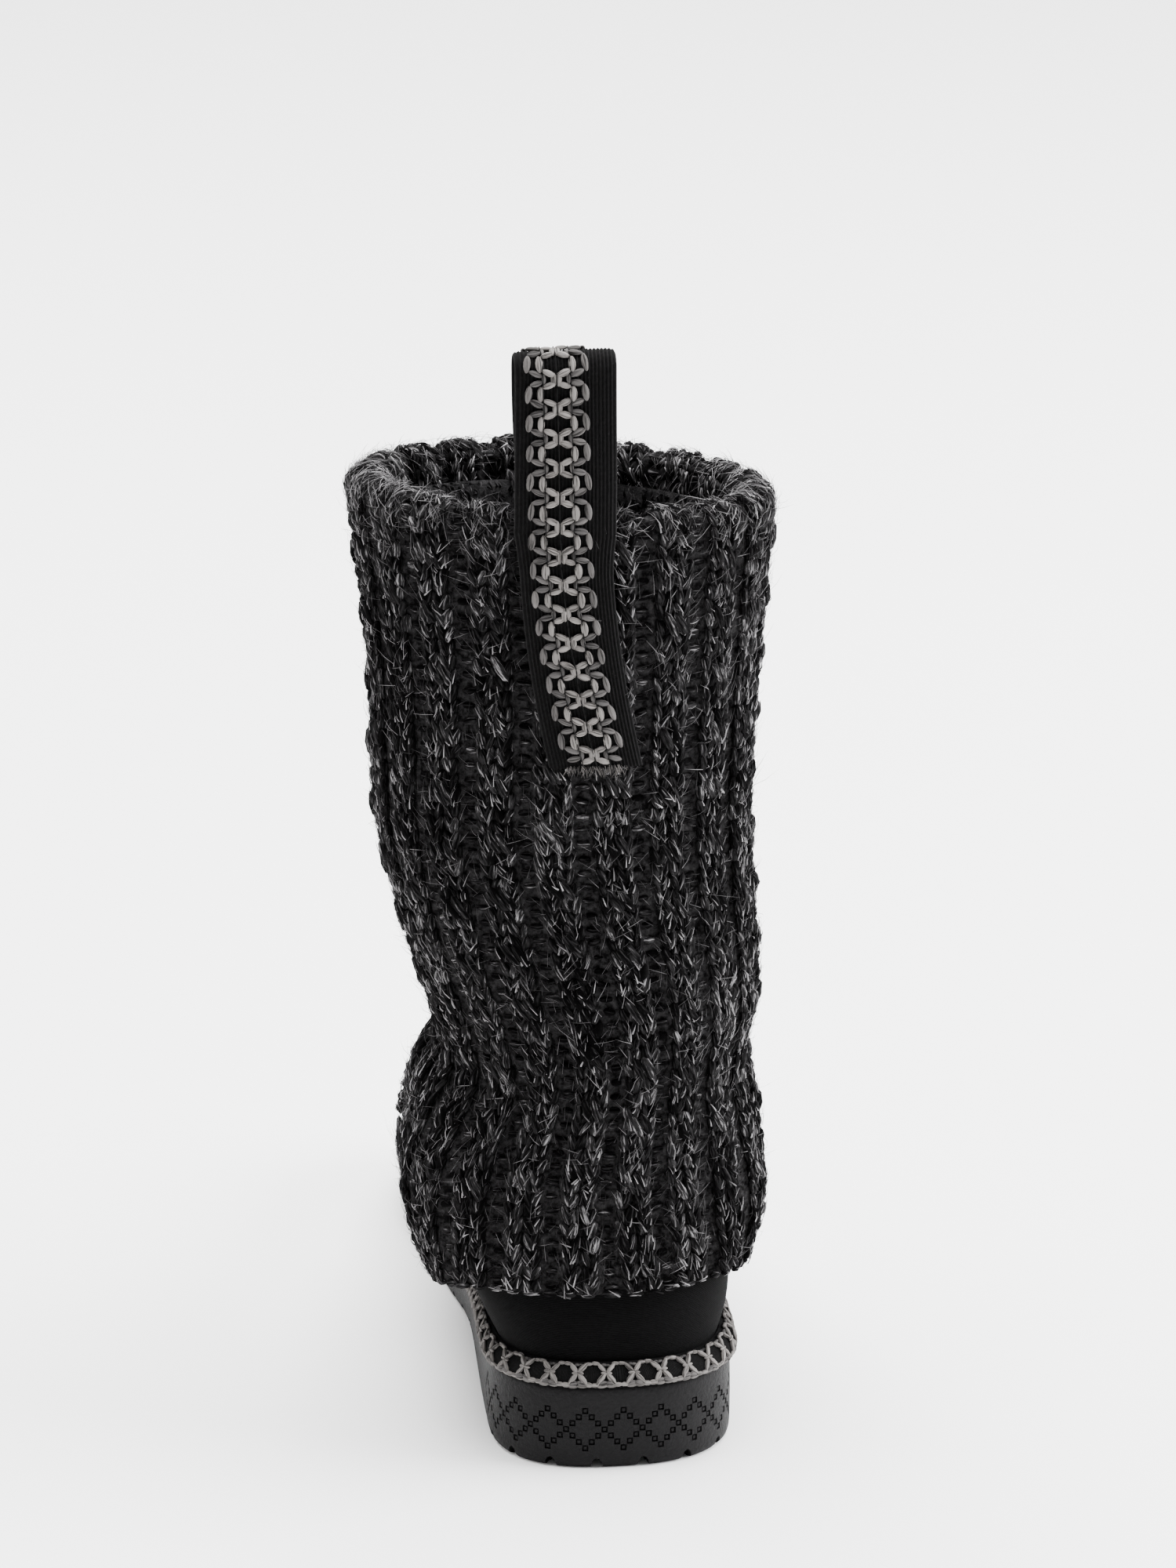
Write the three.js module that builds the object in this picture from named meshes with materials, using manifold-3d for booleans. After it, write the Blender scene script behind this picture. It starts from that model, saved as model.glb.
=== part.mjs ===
import * as THREE from 'three';
import Module from 'manifold-3d';

// Pull-on winter boot for the right foot, in millimetres, +Z up, toe towards -Y.
// +X is the medial side. The origin is on the floor under the middle of the heel.

const wasm = await Module();
wasm.setup();

// Sole
const SOLE_LENGTH = 271;
const ORIGIN_FROM_BACK = 35;
const HEEL_WIDTH = 73;
const WAIST_WIDTH = 72;
const BALL_WIDTH = 88;
const HEEL_ROUND = 36;
const LAST_CURVE = 4.6;
const SOLE_AT_HEEL = 26;
const SOLE_AT_BALL = 15.3;
const ARCH_RISE = 2;
const TOE_SPRING = 10;
const SOLE_EDGE_ROUND = 1.6;
const SOLE_BOTTOM_ROUND = 2.2;

// Shares of the sole's length where its profile changes
const ARCH_START = 0.3;
const ARCH_END = 0.54;
const WEDGE_START = 0.2;
const WEDGE_END = 0.46;
const SPRING_START = 0.76;
const TOE_TAPER = 0.74;
const CURVE_CROSSING = 0.93;

// How the toe spring and the centre line grow, and how square the sole's ends are
const SPRING_POWER = 1.8;
const SPRING_ON_TOP = 1.15;
const CURVE_POWER = 1.4;
const SOLE_POWER = 2.3;

// Tread
const LUG_PITCH = 14;
const GROOVE_WIDTH = 3;
const GROOVE_DEPTH = 2.2;
const RIM_LUG_LENGTH = 11;

// Upper
const UPPER_WALL = 3;
const UPPER_INSET = 5.5;
const INSTEP_RISE = 60;
const INSTEP_REACH = 152;
const BACK_HOLLOW = 12;
const ANKLE_WIDTH = 80;
const COLLAR_WIDTH = 115.2;
const COLLAR_FRONT = 99.5;
const UPPER_HEIGHT = 288;
const SHAFT_LEAN = 10.4;
const COLLAR_TILT = 7;
const COLLAR_FRONT_DROP = 2;

// Knit sleeve
const KNIT_WALL = 3.6;
const ROPE_RISE = 1.9;
const HEM_RIB_RISE = 0.7;
const HEM_RIB_HEIGHT = 25;
const HEM_BLEND = 5;
const KNIT_FOLD_WALL = 3.5;
const KNIT_FOLD_DEPTH = 13;
const SLEEVE_SLACK = 7;
const ROPES_AROUND = 20;

// Insole, trim and pull tab
const INSOLE_THICKNESS = 4;
const TRIM_HEIGHT = 6.6;
const TRIM_LIP = 1.8;
const TRIM_PROUD = 1.4;
const TRIM_THICKNESS = 1.5;
const TAB_THICKNESS = 2.2;
const TAB_WIDTH_ON_SHAFT = 24.5;
const TAB_WIDTH_AT_LOOP = 29.5;
const TAB_FOOT_HEIGHT = 218;
const TAB_LOOP_HEIGHT = 341;
const TAB_LOOP_FOLD = 4;
const TAB_ASIDE_AT_FOOT = 7;
const TAB_ASIDE_AT_LOOP = 15;
const TAB_INSIDE_LENGTH = 20;
const TAB_FLARE = 14;

// Clearance between neighbouring pieces
const GAP = 0.3;

// Steps along the outline where the rim's grooves are placed
const RIM_SAMPLES = 720;

// Places along the roll over the collar, as shares of its half turn
const ROLL_BENDS = [0.2, 0.4, 0.6, 0.8];

// Rows of the pull tab: across it, up the shaft, up a leg of the loop, over its fold and down inside
const TAB_ACROSS = [-1, -0.5, 0, 0.5, 1];
const TAB_OUTER_ROWS = [0, 0.25, 0.5, 0.75, 1];
const TAB_LEG_ROWS = [0.3, 0.6, 0.85, 1];
const TAB_FOLD_ROWS = [-0.6, -0.2, 0.2, 0.6];
const TAB_INNER_ROWS = [0, 0.5, 1];

// Strips across the flat top and bottom of the sole and the insole
const STRIPS = 3;

// Samples around every loop, three to a rope of the knit
const SAMPLES_PER_ROPE = 3;
const AROUND = ROPES_AROUND * SAMPLES_PER_ROPE;
const FRONT_INDEX = AROUND / 2;

// Shares of a ring's length between heel, waist and ball, and how much squarer the heel is
const HEEL_END = 0.18;
const WAIST_END = 0.38;
const HALFWAY = 0.5;
const SQUARER_HEEL = 0.2;

// Steps for the slopes of the surface: radians around, and a share of a level
const TURN_STEP = 0.03;
const LEVEL_STEP = 0.05;

const { clamp, lerp, smoothstep } = THREE.MathUtils;

// Rings of the upper's outside below the instep. up: share of INSTEP_RISE above the sole's edge.
// follow: how far a ring follows the sole's wedge. back: share of BACK_HOLLOW. front: share of the
// way from the instep to the toe. heel, waist, ball: shares of the sole's half widths there.
const FOOT_RINGS = [
  { up: 0.00, follow: 1.00, back: 0.46, front: 1.000, heel: 0.85, waist: 0.85, ball: 0.88 },
  { up: 0.11, follow: 1.00, back: 0.36, front: 1.013, heel: 0.93, waist: 0.94, ball: 0.94 },
  { up: 0.25, follow: 0.85, back: 0.30, front: 1.004, heel: 1.02, waist: 1.02, ball: 0.97 },
  { up: 0.38, follow: 0.65, back: 0.35, front: 0.943, heel: 1.08, waist: 1.07, ball: 0.96 },
  { up: 0.50, follow: 0.45, back: 0.46, front: 0.819, heel: 1.14, waist: 1.10, ball: 0.92 },
  { up: 0.60, follow: 0.25, back: 0.57, front: 0.634, heel: 1.18, waist: 1.12, ball: 0.87 },
  { up: 0.72, follow: 0.10, back: 0.69, front: 0.414, heel: 1.21, waist: 1.14, ball: 0.83 },
  { up: 0.85, follow: 0.00, back: 0.82, front: 0.194, heel: 1.23, waist: 1.17, ball: 0.82 },
  { up: 1.00, follow: 0.00, back: 0.92, front: 0.000, heel: 1.22, waist: 1.18, ball: 0.88 },
];

// Rings of the shaft. up: share of the way from the instep to the top. front: share of the way
// from the collar's front to the instep. width: share of the way from ankle width to collar width.
const SHAFT_RINGS = [
  { up: 0.06, back: 1.00, front: 0.695, width: 0.17, tilt: 0.0 },
  { up: 0.13, back: 1.05, front: 0.467, width: 0.00, tilt: 0.0 },
  { up: 0.22, back: 1.04, front: 0.295, width: 0.22, tilt: 0.0 },
  { up: 0.34, back: 1.00, front: 0.180, width: 0.41, tilt: 0.0 },
  { up: 0.52, back: 0.97, front: 0.105, width: 0.59, tilt: 0.1 },
  { up: 0.75, back: 0.97, front: 0.040, width: 0.71, tilt: 0.5 },
  { up: 1.00, back: 1.00, front: 0.000, width: 1.00, tilt: 1.0 },
];

// A row for each ring above. round and taper: shares of the ring's length where the back ends and
// the front begins to close. power: how square the ends are. lean: share of SHAFT_LEAN to the
// medial side. medial, lateral: how far the sleeve hangs off the upper, as shares of SLEEVE_SLACK.
const RING_ENDS = [
  { round: 0.13, taper: 0.74, power: 2.30, lean: 0.00, medial: 0.00, lateral: 0.00 },
  { round: 0.14, taper: 0.74, power: 2.30, lean: 0.02, medial: 0.20, lateral: 0.00 },
  { round: 0.15, taper: 0.74, power: 2.35, lean: 0.08, medial: 0.70, lateral: 0.00 },
  { round: 0.16, taper: 0.74, power: 2.30, lean: 0.18, medial: 0.90, lateral: 0.00 },
  { round: 0.18, taper: 0.73, power: 2.10, lean: 0.24, medial: 1.00, lateral: 0.18 },
  { round: 0.20, taper: 0.72, power: 2.00, lean: 0.26, medial: 1.00, lateral: 0.42 },
  { round: 0.23, taper: 0.71, power: 1.95, lean: 0.31, medial: 1.00, lateral: 0.62 },
  { round: 0.28, taper: 0.69, power: 1.95, lean: 0.35, medial: 0.93, lateral: 0.72 },
  { round: 0.34, taper: 0.65, power: 2.00, lean: 0.34, medial: 0.72, lateral: 0.72 },
  { round: 0.40, taper: 0.60, power: 2.00, lean: 0.20, medial: 0.30, lateral: 0.42 },
  { round: 0.44, taper: 0.57, power: 2.00, lean: 0.02, medial: 0.02, lateral: 0.04 },
  { round: 0.47, taper: 0.54, power: 2.00, lean: 0.06, medial: 0.00, lateral: 0.00 },
  { round: 0.48, taper: 0.52, power: 2.00, lean: 0.46, medial: 0.00, lateral: 0.00 },
  { round: 0.49, taper: 0.51, power: 2.00, lean: 0.95, medial: 0.00, lateral: 0.00 },
  { round: 0.50, taper: 0.50, power: 2.00, lean: 0.93, medial: 0.00, lateral: 0.00 },
  { round: 0.50, taper: 0.50, power: 2.00, lean: 1.00, medial: 0.00, lateral: 0.00 },
];

// The sleeve's hem. around: share of the way from back to front. up: share of INSTEP_RISE.
const HEM = [
  { around: 0.00, up: 0.47 },
  { around: 0.22, up: 0.46 },
  { around: 0.36, up: 0.42 },
  { around: 0.50, up: 0.36 },
  { around: 0.64, up: 0.41 },
  { around: 0.80, up: 0.68 },
  { around: 0.92, up: 0.88 },
  { around: 1.00, up: 0.92 },
];

// Side of the sole from the floor up. up: share of the height. inset and rise: shares of the edge's
// round, inwards from the outline and upwards.
const SOLE_SIDE = [
  { up: 0.00, round: SOLE_BOTTOM_ROUND, inset: 1.0, rise: 0.0 },
  { up: 0.00, round: SOLE_BOTTOM_ROUND, inset: 0.2, rise: 0.7 },
  { up: 0.30, round: SOLE_BOTTOM_ROUND, inset: -0.1, rise: 0.0 },
  { up: 0.75, round: SOLE_EDGE_ROUND, inset: 0.0, rise: 0.0 },
  { up: 1.00, round: SOLE_EDGE_ROUND, inset: 0.2, rise: -1.0 },
  { up: 1.00, round: SOLE_EDGE_ROUND, inset: 1.0, rise: 0.0 },
];

// Profiles along the foot, by d, the distance forward from the heel's back

function toeLift(d) {
  const pastBall = clamp((d / SOLE_LENGTH - SPRING_START) / (1 - SPRING_START), 0, 1);
  return TOE_SPRING * Math.pow(pastBall, SPRING_POWER);
}

function soleBottom(d) {
  const alongArch = clamp((d / SOLE_LENGTH - ARCH_START) / (ARCH_END - ARCH_START), 0, 1);
  return ARCH_RISE * Math.sin(Math.PI * alongArch) ** 2 + toeLift(d);
}

function soleTop(d) {
  const wedge = smoothstep(d / SOLE_LENGTH, WEDGE_START, WEDGE_END);
  return lerp(SOLE_AT_HEEL, SOLE_AT_BALL, wedge) + SPRING_ON_TOP * toeLift(d);
}

// The centre line swings to the lateral side at the waist and back at the toe
function centreLine(d) {
  const along = Math.max(d, 0) / (CURVE_CROSSING * SOLE_LENGTH);
  return -LAST_CURVE * Math.sin(Math.PI * Math.pow(along, CURVE_POWER));
}

// Rises from 0 to 1 like a quarter of a superellipse
const roundedEnd = (share, power) => Math.pow(1 - Math.pow(1 - clamp(share, 0, 1), power), 1 / power);

// Every ring with its sizes in millimetres

const SOLE_RING = {
  height: 0,
  follow: 0,
  back: 0,
  front: SOLE_LENGTH,
  heel: HEEL_WIDTH / 2,
  waist: WAIST_WIDTH / 2,
  ball: BALL_WIDTH / 2,
  lean: 0,
  tilt: 0,
  round: HEEL_ROUND / SOLE_LENGTH,
  taper: TOE_TAPER,
  power: SOLE_POWER,
  curve: 1,
};

const INSTEP_HEIGHT = SOLE_AT_HEEL + INSTEP_RISE;

const footRing = (row) => ({
  height: SOLE_AT_HEEL + row.up * INSTEP_RISE,
  follow: row.follow,
  back: row.back * BACK_HOLLOW,
  front: lerp(INSTEP_REACH, SOLE_LENGTH - UPPER_INSET, row.front),
  heel: row.heel * HEEL_WIDTH / 2,
  waist: row.waist * WAIST_WIDTH / 2,
  ball: row.ball * BALL_WIDTH / 2,
  tilt: 0,
  curve: 1 - row.up,
});

function shaftRing(row) {
  const half = lerp(ANKLE_WIDTH, COLLAR_WIDTH, row.width) / 2;
  return {
    height: lerp(INSTEP_HEIGHT, UPPER_HEIGHT, row.up),
    follow: 0,
    back: row.back * BACK_HOLLOW,
    front: lerp(COLLAR_FRONT, INSTEP_REACH, row.front),
    heel: half,
    waist: half,
    ball: half,
    tilt: row.tilt,
    curve: 0,
  };
}

const RINGS = [...FOOT_RINGS.map(footRing), ...SHAFT_RINGS.map(shaftRing)];
RINGS.forEach((ring, level) => {
  const ends = RING_ENDS[level];
  ring.round = ends.round;
  ring.taper = ends.taper;
  ring.power = ends.power;
  ring.lean = ends.lean * SHAFT_LEAN;
  ring.medial = ends.medial * SLEEVE_SLACK;
  ring.lateral = ends.lateral * SLEEVE_SLACK;
});
const TOP_LEVEL = RINGS.length - 1;

// A smooth curve through four values
function catmull(a, b, c, d, u) {
  const slopeIn = (c - a) / 2;
  const slopeOut = (d - b) / 2;
  const u2 = u * u;
  const u3 = u2 * u;
  const fromEnds = b * (2 * u3 - 3 * u2 + 1) + c * (3 * u2 - 2 * u3);
  return fromEnds + slopeIn * (u3 - 2 * u2 + u) + slopeOut * (u3 - u2);
}

// The ring at a level, which is a place between two rows of RINGS
function ringAt(level) {
  const i = clamp(Math.floor(level), 0, TOP_LEVEL - 1);
  const [a, b, c, d] = [i - 1, i, i + 1, i + 2].map((k) => RINGS[clamp(k, 0, TOP_LEVEL)]);
  const ring = {};
  for (const key of Object.keys(b)) {
    ring[key] = catmull(a[key], b[key], c[key], d[key], level - i);
  }
  return ring;
}

// The level whose ring has a given height at the heel's back
function levelAt(height) {
  let low = 0;
  let high = TOP_LEVEL;
  for (let step = 0; step < 24; step += 1) {
    const middle = (low + high) / 2;
    if (ringAt(middle).height < height) {
      low = middle;
    } else {
      high = middle;
    }
  }
  return (low + high) / 2;
}

// A ring's point at an angle: 0 at the back, a quarter turn at the medial side, half at the front
function ringPoint(ring, angle) {
  const turn = (1 - Math.cos(angle)) / 2;
  const reach = Math.min(ring.front, COLLAR_FRONT + BACK_HOLLOW);
  const d = ring.back + (reach - ring.back) * turn + (ring.front - reach) * turn ** 3;
  const share = (d - ring.back) / (ring.front - ring.back);
  const toWaist = lerp(ring.heel, ring.waist, smoothstep(share, HEEL_END, WAIST_END));
  const toBall = lerp(toWaist, ring.ball, smoothstep(share, WAIST_END, Math.max(ring.taper, HALFWAY)));
  const backEnd = roundedEnd(share / ring.round, ring.power + SQUARER_HEEL * ring.curve);
  const frontEnd = roundedEnd((1 - share) / (1 - ring.taper), ring.power);
  const aside = Math.sign(Math.sin(angle)) * toBall * backEnd * frontEnd;
  const tilt = ring.tilt * (COLLAR_TILT / 2 * aside / toBall - COLLAR_FRONT_DROP * turn);
  return new THREE.Vector3(
    ring.lean + ring.curve * centreLine(d) + aside,
    ORIGIN_FROM_BACK - d,
    ring.height + ring.follow * (soleTop(d) - SOLE_AT_HEEL) + tilt,
  );
}

// Outward normal of a ring in plan
function planNormal(ring, angle) {
  const along = ringPoint(ring, angle + TURN_STEP).sub(ringPoint(ring, angle - TURN_STEP));
  return new THREE.Vector3(-along.y, along.x, 0).normalize();
}

// Point on the upper's outside, or off it by a distance along its normal
function upperPoint(angle, level, off = 0) {
  const point = ringPoint(ringAt(level), angle);
  if (off === 0) {
    return point;
  }
  const above = ringPoint(ringAt(Math.min(level + LEVEL_STEP, TOP_LEVEL)), angle);
  const below = ringPoint(ringAt(Math.max(level - LEVEL_STEP, 0)), angle);
  const here = ringAt(level);
  const around = ringPoint(here, angle + TURN_STEP).sub(ringPoint(here, angle - TURN_STEP));
  const normal = above.sub(below).cross(around).normalize();
  return point.addScaledVector(normal, off);
}

const forward = (point) => ORIGIN_FROM_BACK - point.y;

const ANGLES = Array.from({ length: AROUND }, (_, i) => 2 * Math.PI * i / AROUND);

// Meshes from rings of points

function meshFrom(vertices, triangles) {
  const geometry = new THREE.BufferGeometry();
  const places = vertices.flatMap((v) => [v.x, v.y, v.z]);
  geometry.setAttribute('position', new THREE.Float32BufferAttribute(places, 3));
  geometry.setIndex(triangles.flat());
  geometry.computeVertexNormals();
  return geometry;
}

// Faces between rings. The first bands rise up the outside and the rest fall down the inside, with
// the other diagonal, so that two walls over each other have the same facets.
function loftFaces(ringCount, closed, risingBands) {
  const triangles = [];
  const bands = closed ? ringCount : ringCount - 1;
  for (let j = 0; j < bands; j += 1) {
    const low = j * AROUND;
    const high = ((j + 1) % ringCount) * AROUND;
    for (let i = 0; i < AROUND; i += 1) {
      const next = (i + 1) % AROUND;
      if (j < risingBands) {
        triangles.push([low + i, high + next, low + next], [low + i, high + i, high + next]);
      } else {
        triangles.push([low + i, high + i, low + next], [low + next, high + i, high + next]);
      }
    }
  }
  return triangles;
}

function closedLoft(rings, risingBands) {
  return meshFrom(rings.flat(), loftFaces(rings.length, true, risingBands));
}

// A loft with both ends closed by strips across the foot, at the heights given for each d
function cappedLoft(rings, bottomHeight, topHeight, strips) {
  const vertices = rings.flat();
  const triangles = loftFaces(rings.length, false, rings.length);

  function cap(first, heightAt, facesUp) {
    const rows = [[first]];
    for (let i = 1; i < FRONT_INDEX; i += 1) {
      const medial = vertices[first + i];
      const lateral = vertices[first + AROUND - i];
      const row = [first + i];
      for (let k = 1; k < strips; k += 1) {
        const point = medial.clone().lerp(lateral, k / strips);
        point.z = heightAt(forward(point));
        row.push(vertices.push(point) - 1);
      }
      row.push(first + AROUND - i);
      rows.push(row);
    }
    rows.push([first + FRONT_INDEX]);
    for (let i = 0; i + 1 < rows.length; i += 1) {
      const near = rows[i];
      const far = rows[i + 1];
      for (let k = 0; k < strips; k += 1) {
        const faces = [];
        if (near.length > 1) {
          faces.push([near[k], near[k + 1], far[Math.min(k, far.length - 1)]]);
        }
        if (far.length > 1) {
          faces.push([near[Math.min(k + 1, near.length - 1)], far[k + 1], far[k]]);
        }
        triangles.push(...faces.map(([a, b, c]) => (facesUp ? [a, b, c] : [a, c, b])));
      }
    }
  }

  cap(0, bottomHeight, false);
  cap((rings.length - 1) * AROUND, topHeight, true);
  return meshFrom(vertices, triangles);
}

// Booleans

function toSolid(geometry) {
  const mesh = new wasm.Mesh({
    numProp: 3,
    vertProperties: new Float32Array(geometry.getAttribute('position').array),
    triVerts: new Uint32Array(geometry.getIndex().array),
  });
  return new wasm.Manifold(mesh);
}

function fromSolid(solid) {
  const mesh = solid.getMesh();
  const geometry = new THREE.BufferGeometry();
  geometry.setAttribute('position', new THREE.BufferAttribute(new Float32Array(mesh.vertProperties), 3));
  geometry.setIndex(new THREE.BufferAttribute(new Uint32Array(mesh.triVerts), 1));
  geometry.computeVertexNormals();
  return geometry;
}

// Outsole

function soleRingPoint(angle, inset) {
  return ringPoint(SOLE_RING, angle).addScaledVector(planNormal(SOLE_RING, angle), -inset);
}

function soleBody() {
  const rings = SOLE_SIDE.map((row) => ANGLES.map((angle) => {
    const point = soleRingPoint(angle, row.inset * row.round);
    const d = forward(point);
    point.z = lerp(soleBottom(d), soleTop(d), row.up) + row.rise * row.round;
    return point;
  }));
  return cappedLoft(rings, soleBottom, soleTop, STRIPS);
}

// A block of four corners that reaches the groove's depth into the tread from under the floor
function grooveBlock(corners) {
  const low = corners.map((c) => new THREE.Vector3(c.x, c.y, -GROOVE_DEPTH));
  const high = corners.map((c) => new THREE.Vector3(c.x, c.y, soleBottom(forward(c)) + GROOVE_DEPTH));
  const faces = [[0, 2, 1], [0, 3, 2], [4, 5, 6], [4, 6, 7]];
  for (let i = 0; i < 4; i += 1) {
    const next = (i + 1) % 4;
    faces.push([i, next, 4 + next], [i, 4 + next, 4 + i]);
  }
  return toSolid(meshFrom([...low, ...high], faces));
}

// Four corners of a groove that runs from one point to another
function grooveCorners(from, to) {
  const side = new THREE.Vector3(from.y - to.y, to.x - from.x, 0).setLength(GROOVE_WIDTH / 2);
  return [from.clone().sub(side), to.clone().sub(side), to.clone().add(side), from.clone().add(side)];
}

// Short grooves round the rim, at an even pitch along the outline
function rimGrooves() {
  const outline = Array.from({ length: RIM_SAMPLES }, (_, i) => 2 * Math.PI * (i + 0.5) / RIM_SAMPLES);
  const blocks = [];
  let walked = LUG_PITCH / 2;
  let last = soleRingPoint(outline[0], 0);
  for (const angle of outline) {
    const here = soleRingPoint(angle, 0);
    walked += here.distanceTo(last);
    last = here;
    if (walked >= LUG_PITCH) {
      walked -= LUG_PITCH;
      const inner = soleRingPoint(angle, RIM_LUG_LENGTH);
      const outer = soleRingPoint(angle, -GROOVE_DEPTH);
      blocks.push(grooveBlock(grooveCorners(inner, outer)));
    }
  }
  return blocks;
}

// A channel that parts the rim lugs from the bars in the middle
function channel() {
  const edge = (inset, up) => ANGLES.map((angle) => {
    const point = soleRingPoint(angle, inset);
    point.z = up ? soleBottom(forward(point)) + GROOVE_DEPTH : -GROOVE_DEPTH;
    return point;
  });
  const inner = RIM_LUG_LENGTH + GROOVE_WIDTH;
  const outside = [edge(RIM_LUG_LENGTH, false), edge(RIM_LUG_LENGTH, true)];
  const rings = [...outside, edge(inner, true), edge(inner, false)];
  return toSolid(closedLoft(rings, rings.length));
}

// Straight grooves across the middle, placed so that a bar lies under the origin
function crossGrooves() {
  const blocks = [];
  const inset = RIM_LUG_LENGTH + GROOVE_WIDTH / 2;
  const halfTurns = ANGLES.map((angle) => angle / 2);
  const sideAt = (d, sign) => {
    const side = halfTurns.map((angle) => soleRingPoint(sign * angle, inset));
    return side.reduce((a, b) => (Math.abs(forward(a) - d) < Math.abs(forward(b) - d) ? a : b));
  };
  const first = ORIGIN_FROM_BACK - 1.5 * LUG_PITCH;
  for (let d = first; d < SOLE_LENGTH - inset - GROOVE_WIDTH; d += LUG_PITCH) {
    if (d > inset + GROOVE_WIDTH) {
      const medial = sideAt(d, 1);
      const lateral = sideAt(d, -1);
      medial.y = ORIGIN_FROM_BACK - d;
      lateral.y = ORIGIN_FROM_BACK - d;
      blocks.push(grooveBlock(grooveCorners(lateral, medial)));
    }
  }
  return blocks;
}

function outsole() {
  const cutters = [channel(), ...rimGrooves(), ...crossGrooves()];
  const solid = cutters.reduce((body, cutter) => body.subtract(cutter), toSolid(soleBody()));
  return fromSolid(solid);
}

// Hem of the knit sleeve, and the levels that upper and sleeve share

// A value of a table by its around column, with a smooth curve through the rows
function tableAt(rows, around, key) {
  const next = clamp(rows.findIndex((row) => row.around >= around), 1, rows.length - 1);
  const end = rows.length - 1;
  const value = (k) => rows[end - Math.abs(end - Math.abs(k))][key];
  const low = rows[next - 1].around;
  const u = (around - low) / (rows[next].around - low);
  return catmull(value(next - 2), value(next - 1), value(next), value(next + 1), u);
}

function hemLevel(angle) {
  const around = 1 - Math.abs(1 - angle / Math.PI);
  return levelAt(SOLE_AT_HEEL + tableAt(HEM, around, 'up') * INSTEP_RISE);
}

const TRIM_LEVEL = levelAt(SOLE_AT_HEEL + TRIM_HEIGHT);

// Rows of points under the hem, from the sole up, and over it, as shares of the levels there
const UNDER_HEM = [0, 0.25, 0.5, 0.75, 1];
const OVER_HEM = [0, 0.05, 0.12, 0.2, 0.3, 0.41, 0.54, 0.68, 0.84, 1];

const HEM_LEVELS = ANGLES.map(hemLevel);
const underHem = HEM_LEVELS.map((hem) => [0, ...UNDER_HEM.map((share) => lerp(TRIM_LEVEL, hem, share))]);
const overHem = HEM_LEVELS.map((hem) => OVER_HEM.map((share) => lerp(hem, TOP_LEVEL, share)));

// Rings of points through given levels of each column, at a distance off the upper's outside
function wallRings(levels, offAt) {
  const pointAt = (i, level) => upperPoint(ANGLES[i], level, offAt(ANGLES[i], level, i));
  return levels[0].map((_, k) => ANGLES.map((angle, i) => pointAt(i, levels[i][k])));
}

// Upper: one wall from the sole's top to the collar, open below and above

function onSole(point) {
  point.z = soleTop(forward(point)) + GAP;
  return point;
}

function upper() {
  const levels = ANGLES.map((_, i) => [...underHem[i], ...overHem[i].slice(1)]);
  const outside = wallRings(levels, () => 0);
  const inside = wallRings(levels, () => -UPPER_WALL);
  const last = outside.length - 1;
  outside[0].forEach(onSole);
  inside[0].forEach(onSole);
  inside[last].forEach((point, i) => {
    point.z = outside[last][i].z;
  });
  return closedLoft([...outside, ...inside.reverse()], last + 1);
}

// Insole

function insole() {
  const inwards = -(UPPER_WALL + GAP);
  const edge = (angle) => upperPoint(angle, 0).addScaledVector(planNormal(RINGS[0], angle), inwards);
  const floor = ANGLES.map((angle) => onSole(edge(angle)));
  const raised = floor.map((point) => point.clone().setZ(point.z + INSOLE_THICKNESS));
  const floorHeight = (d) => soleTop(d) + GAP;
  return cappedLoft([floor, raised], floorHeight, (d) => floorHeight(d) + INSOLE_THICKNESS, STRIPS);
}

// Trim: a webbing band that covers the joint of sole and upper

function soleTrim() {
  const lip = (rise) => ANGLES.map((angle) => {
    const point = onSole(soleRingPoint(angle, -TRIM_PROUD));
    point.z += rise;
    return point;
  });
  const beside = (level, off) => ANGLES.map((angle) => upperPoint(angle, level, off));
  const outside = [lip(0), lip(TRIM_LIP), beside(TRIM_LEVEL, GAP + TRIM_THICKNESS)];
  return closedLoft([...outside, beside(TRIM_LEVEL, GAP), beside(0, GAP).map(onSole)], outside.length);
}

// Knit sleeve: a wall with raised ropes, rolled over the collar and turned in

function slackAt(angle, level) {
  const ring = ringAt(level);
  const slack = angle < Math.PI ? ring.medial : ring.lateral;
  return Math.max(slack, 0) * Math.sin(angle) ** 2;
}

// How far the sleeve's outside lies from the upper: a groove at every third sample
function sleeveOutside(angle, level, index) {
  const aboveHem = ringAt(level).height - ringAt(HEM_LEVELS[index]).height;
  const toRopes = smoothstep(aboveHem, HEM_RIB_HEIGHT - HEM_BLEND, HEM_RIB_HEIGHT + HEM_BLEND);
  const rise = lerp(HEM_RIB_RISE, ROPE_RISE, toRopes);
  const onRope = index % SAMPLES_PER_ROPE === 0 ? 0 : 1;
  return GAP + slackAt(angle, level) + KNIT_WALL + rise * onRope;
}

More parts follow.
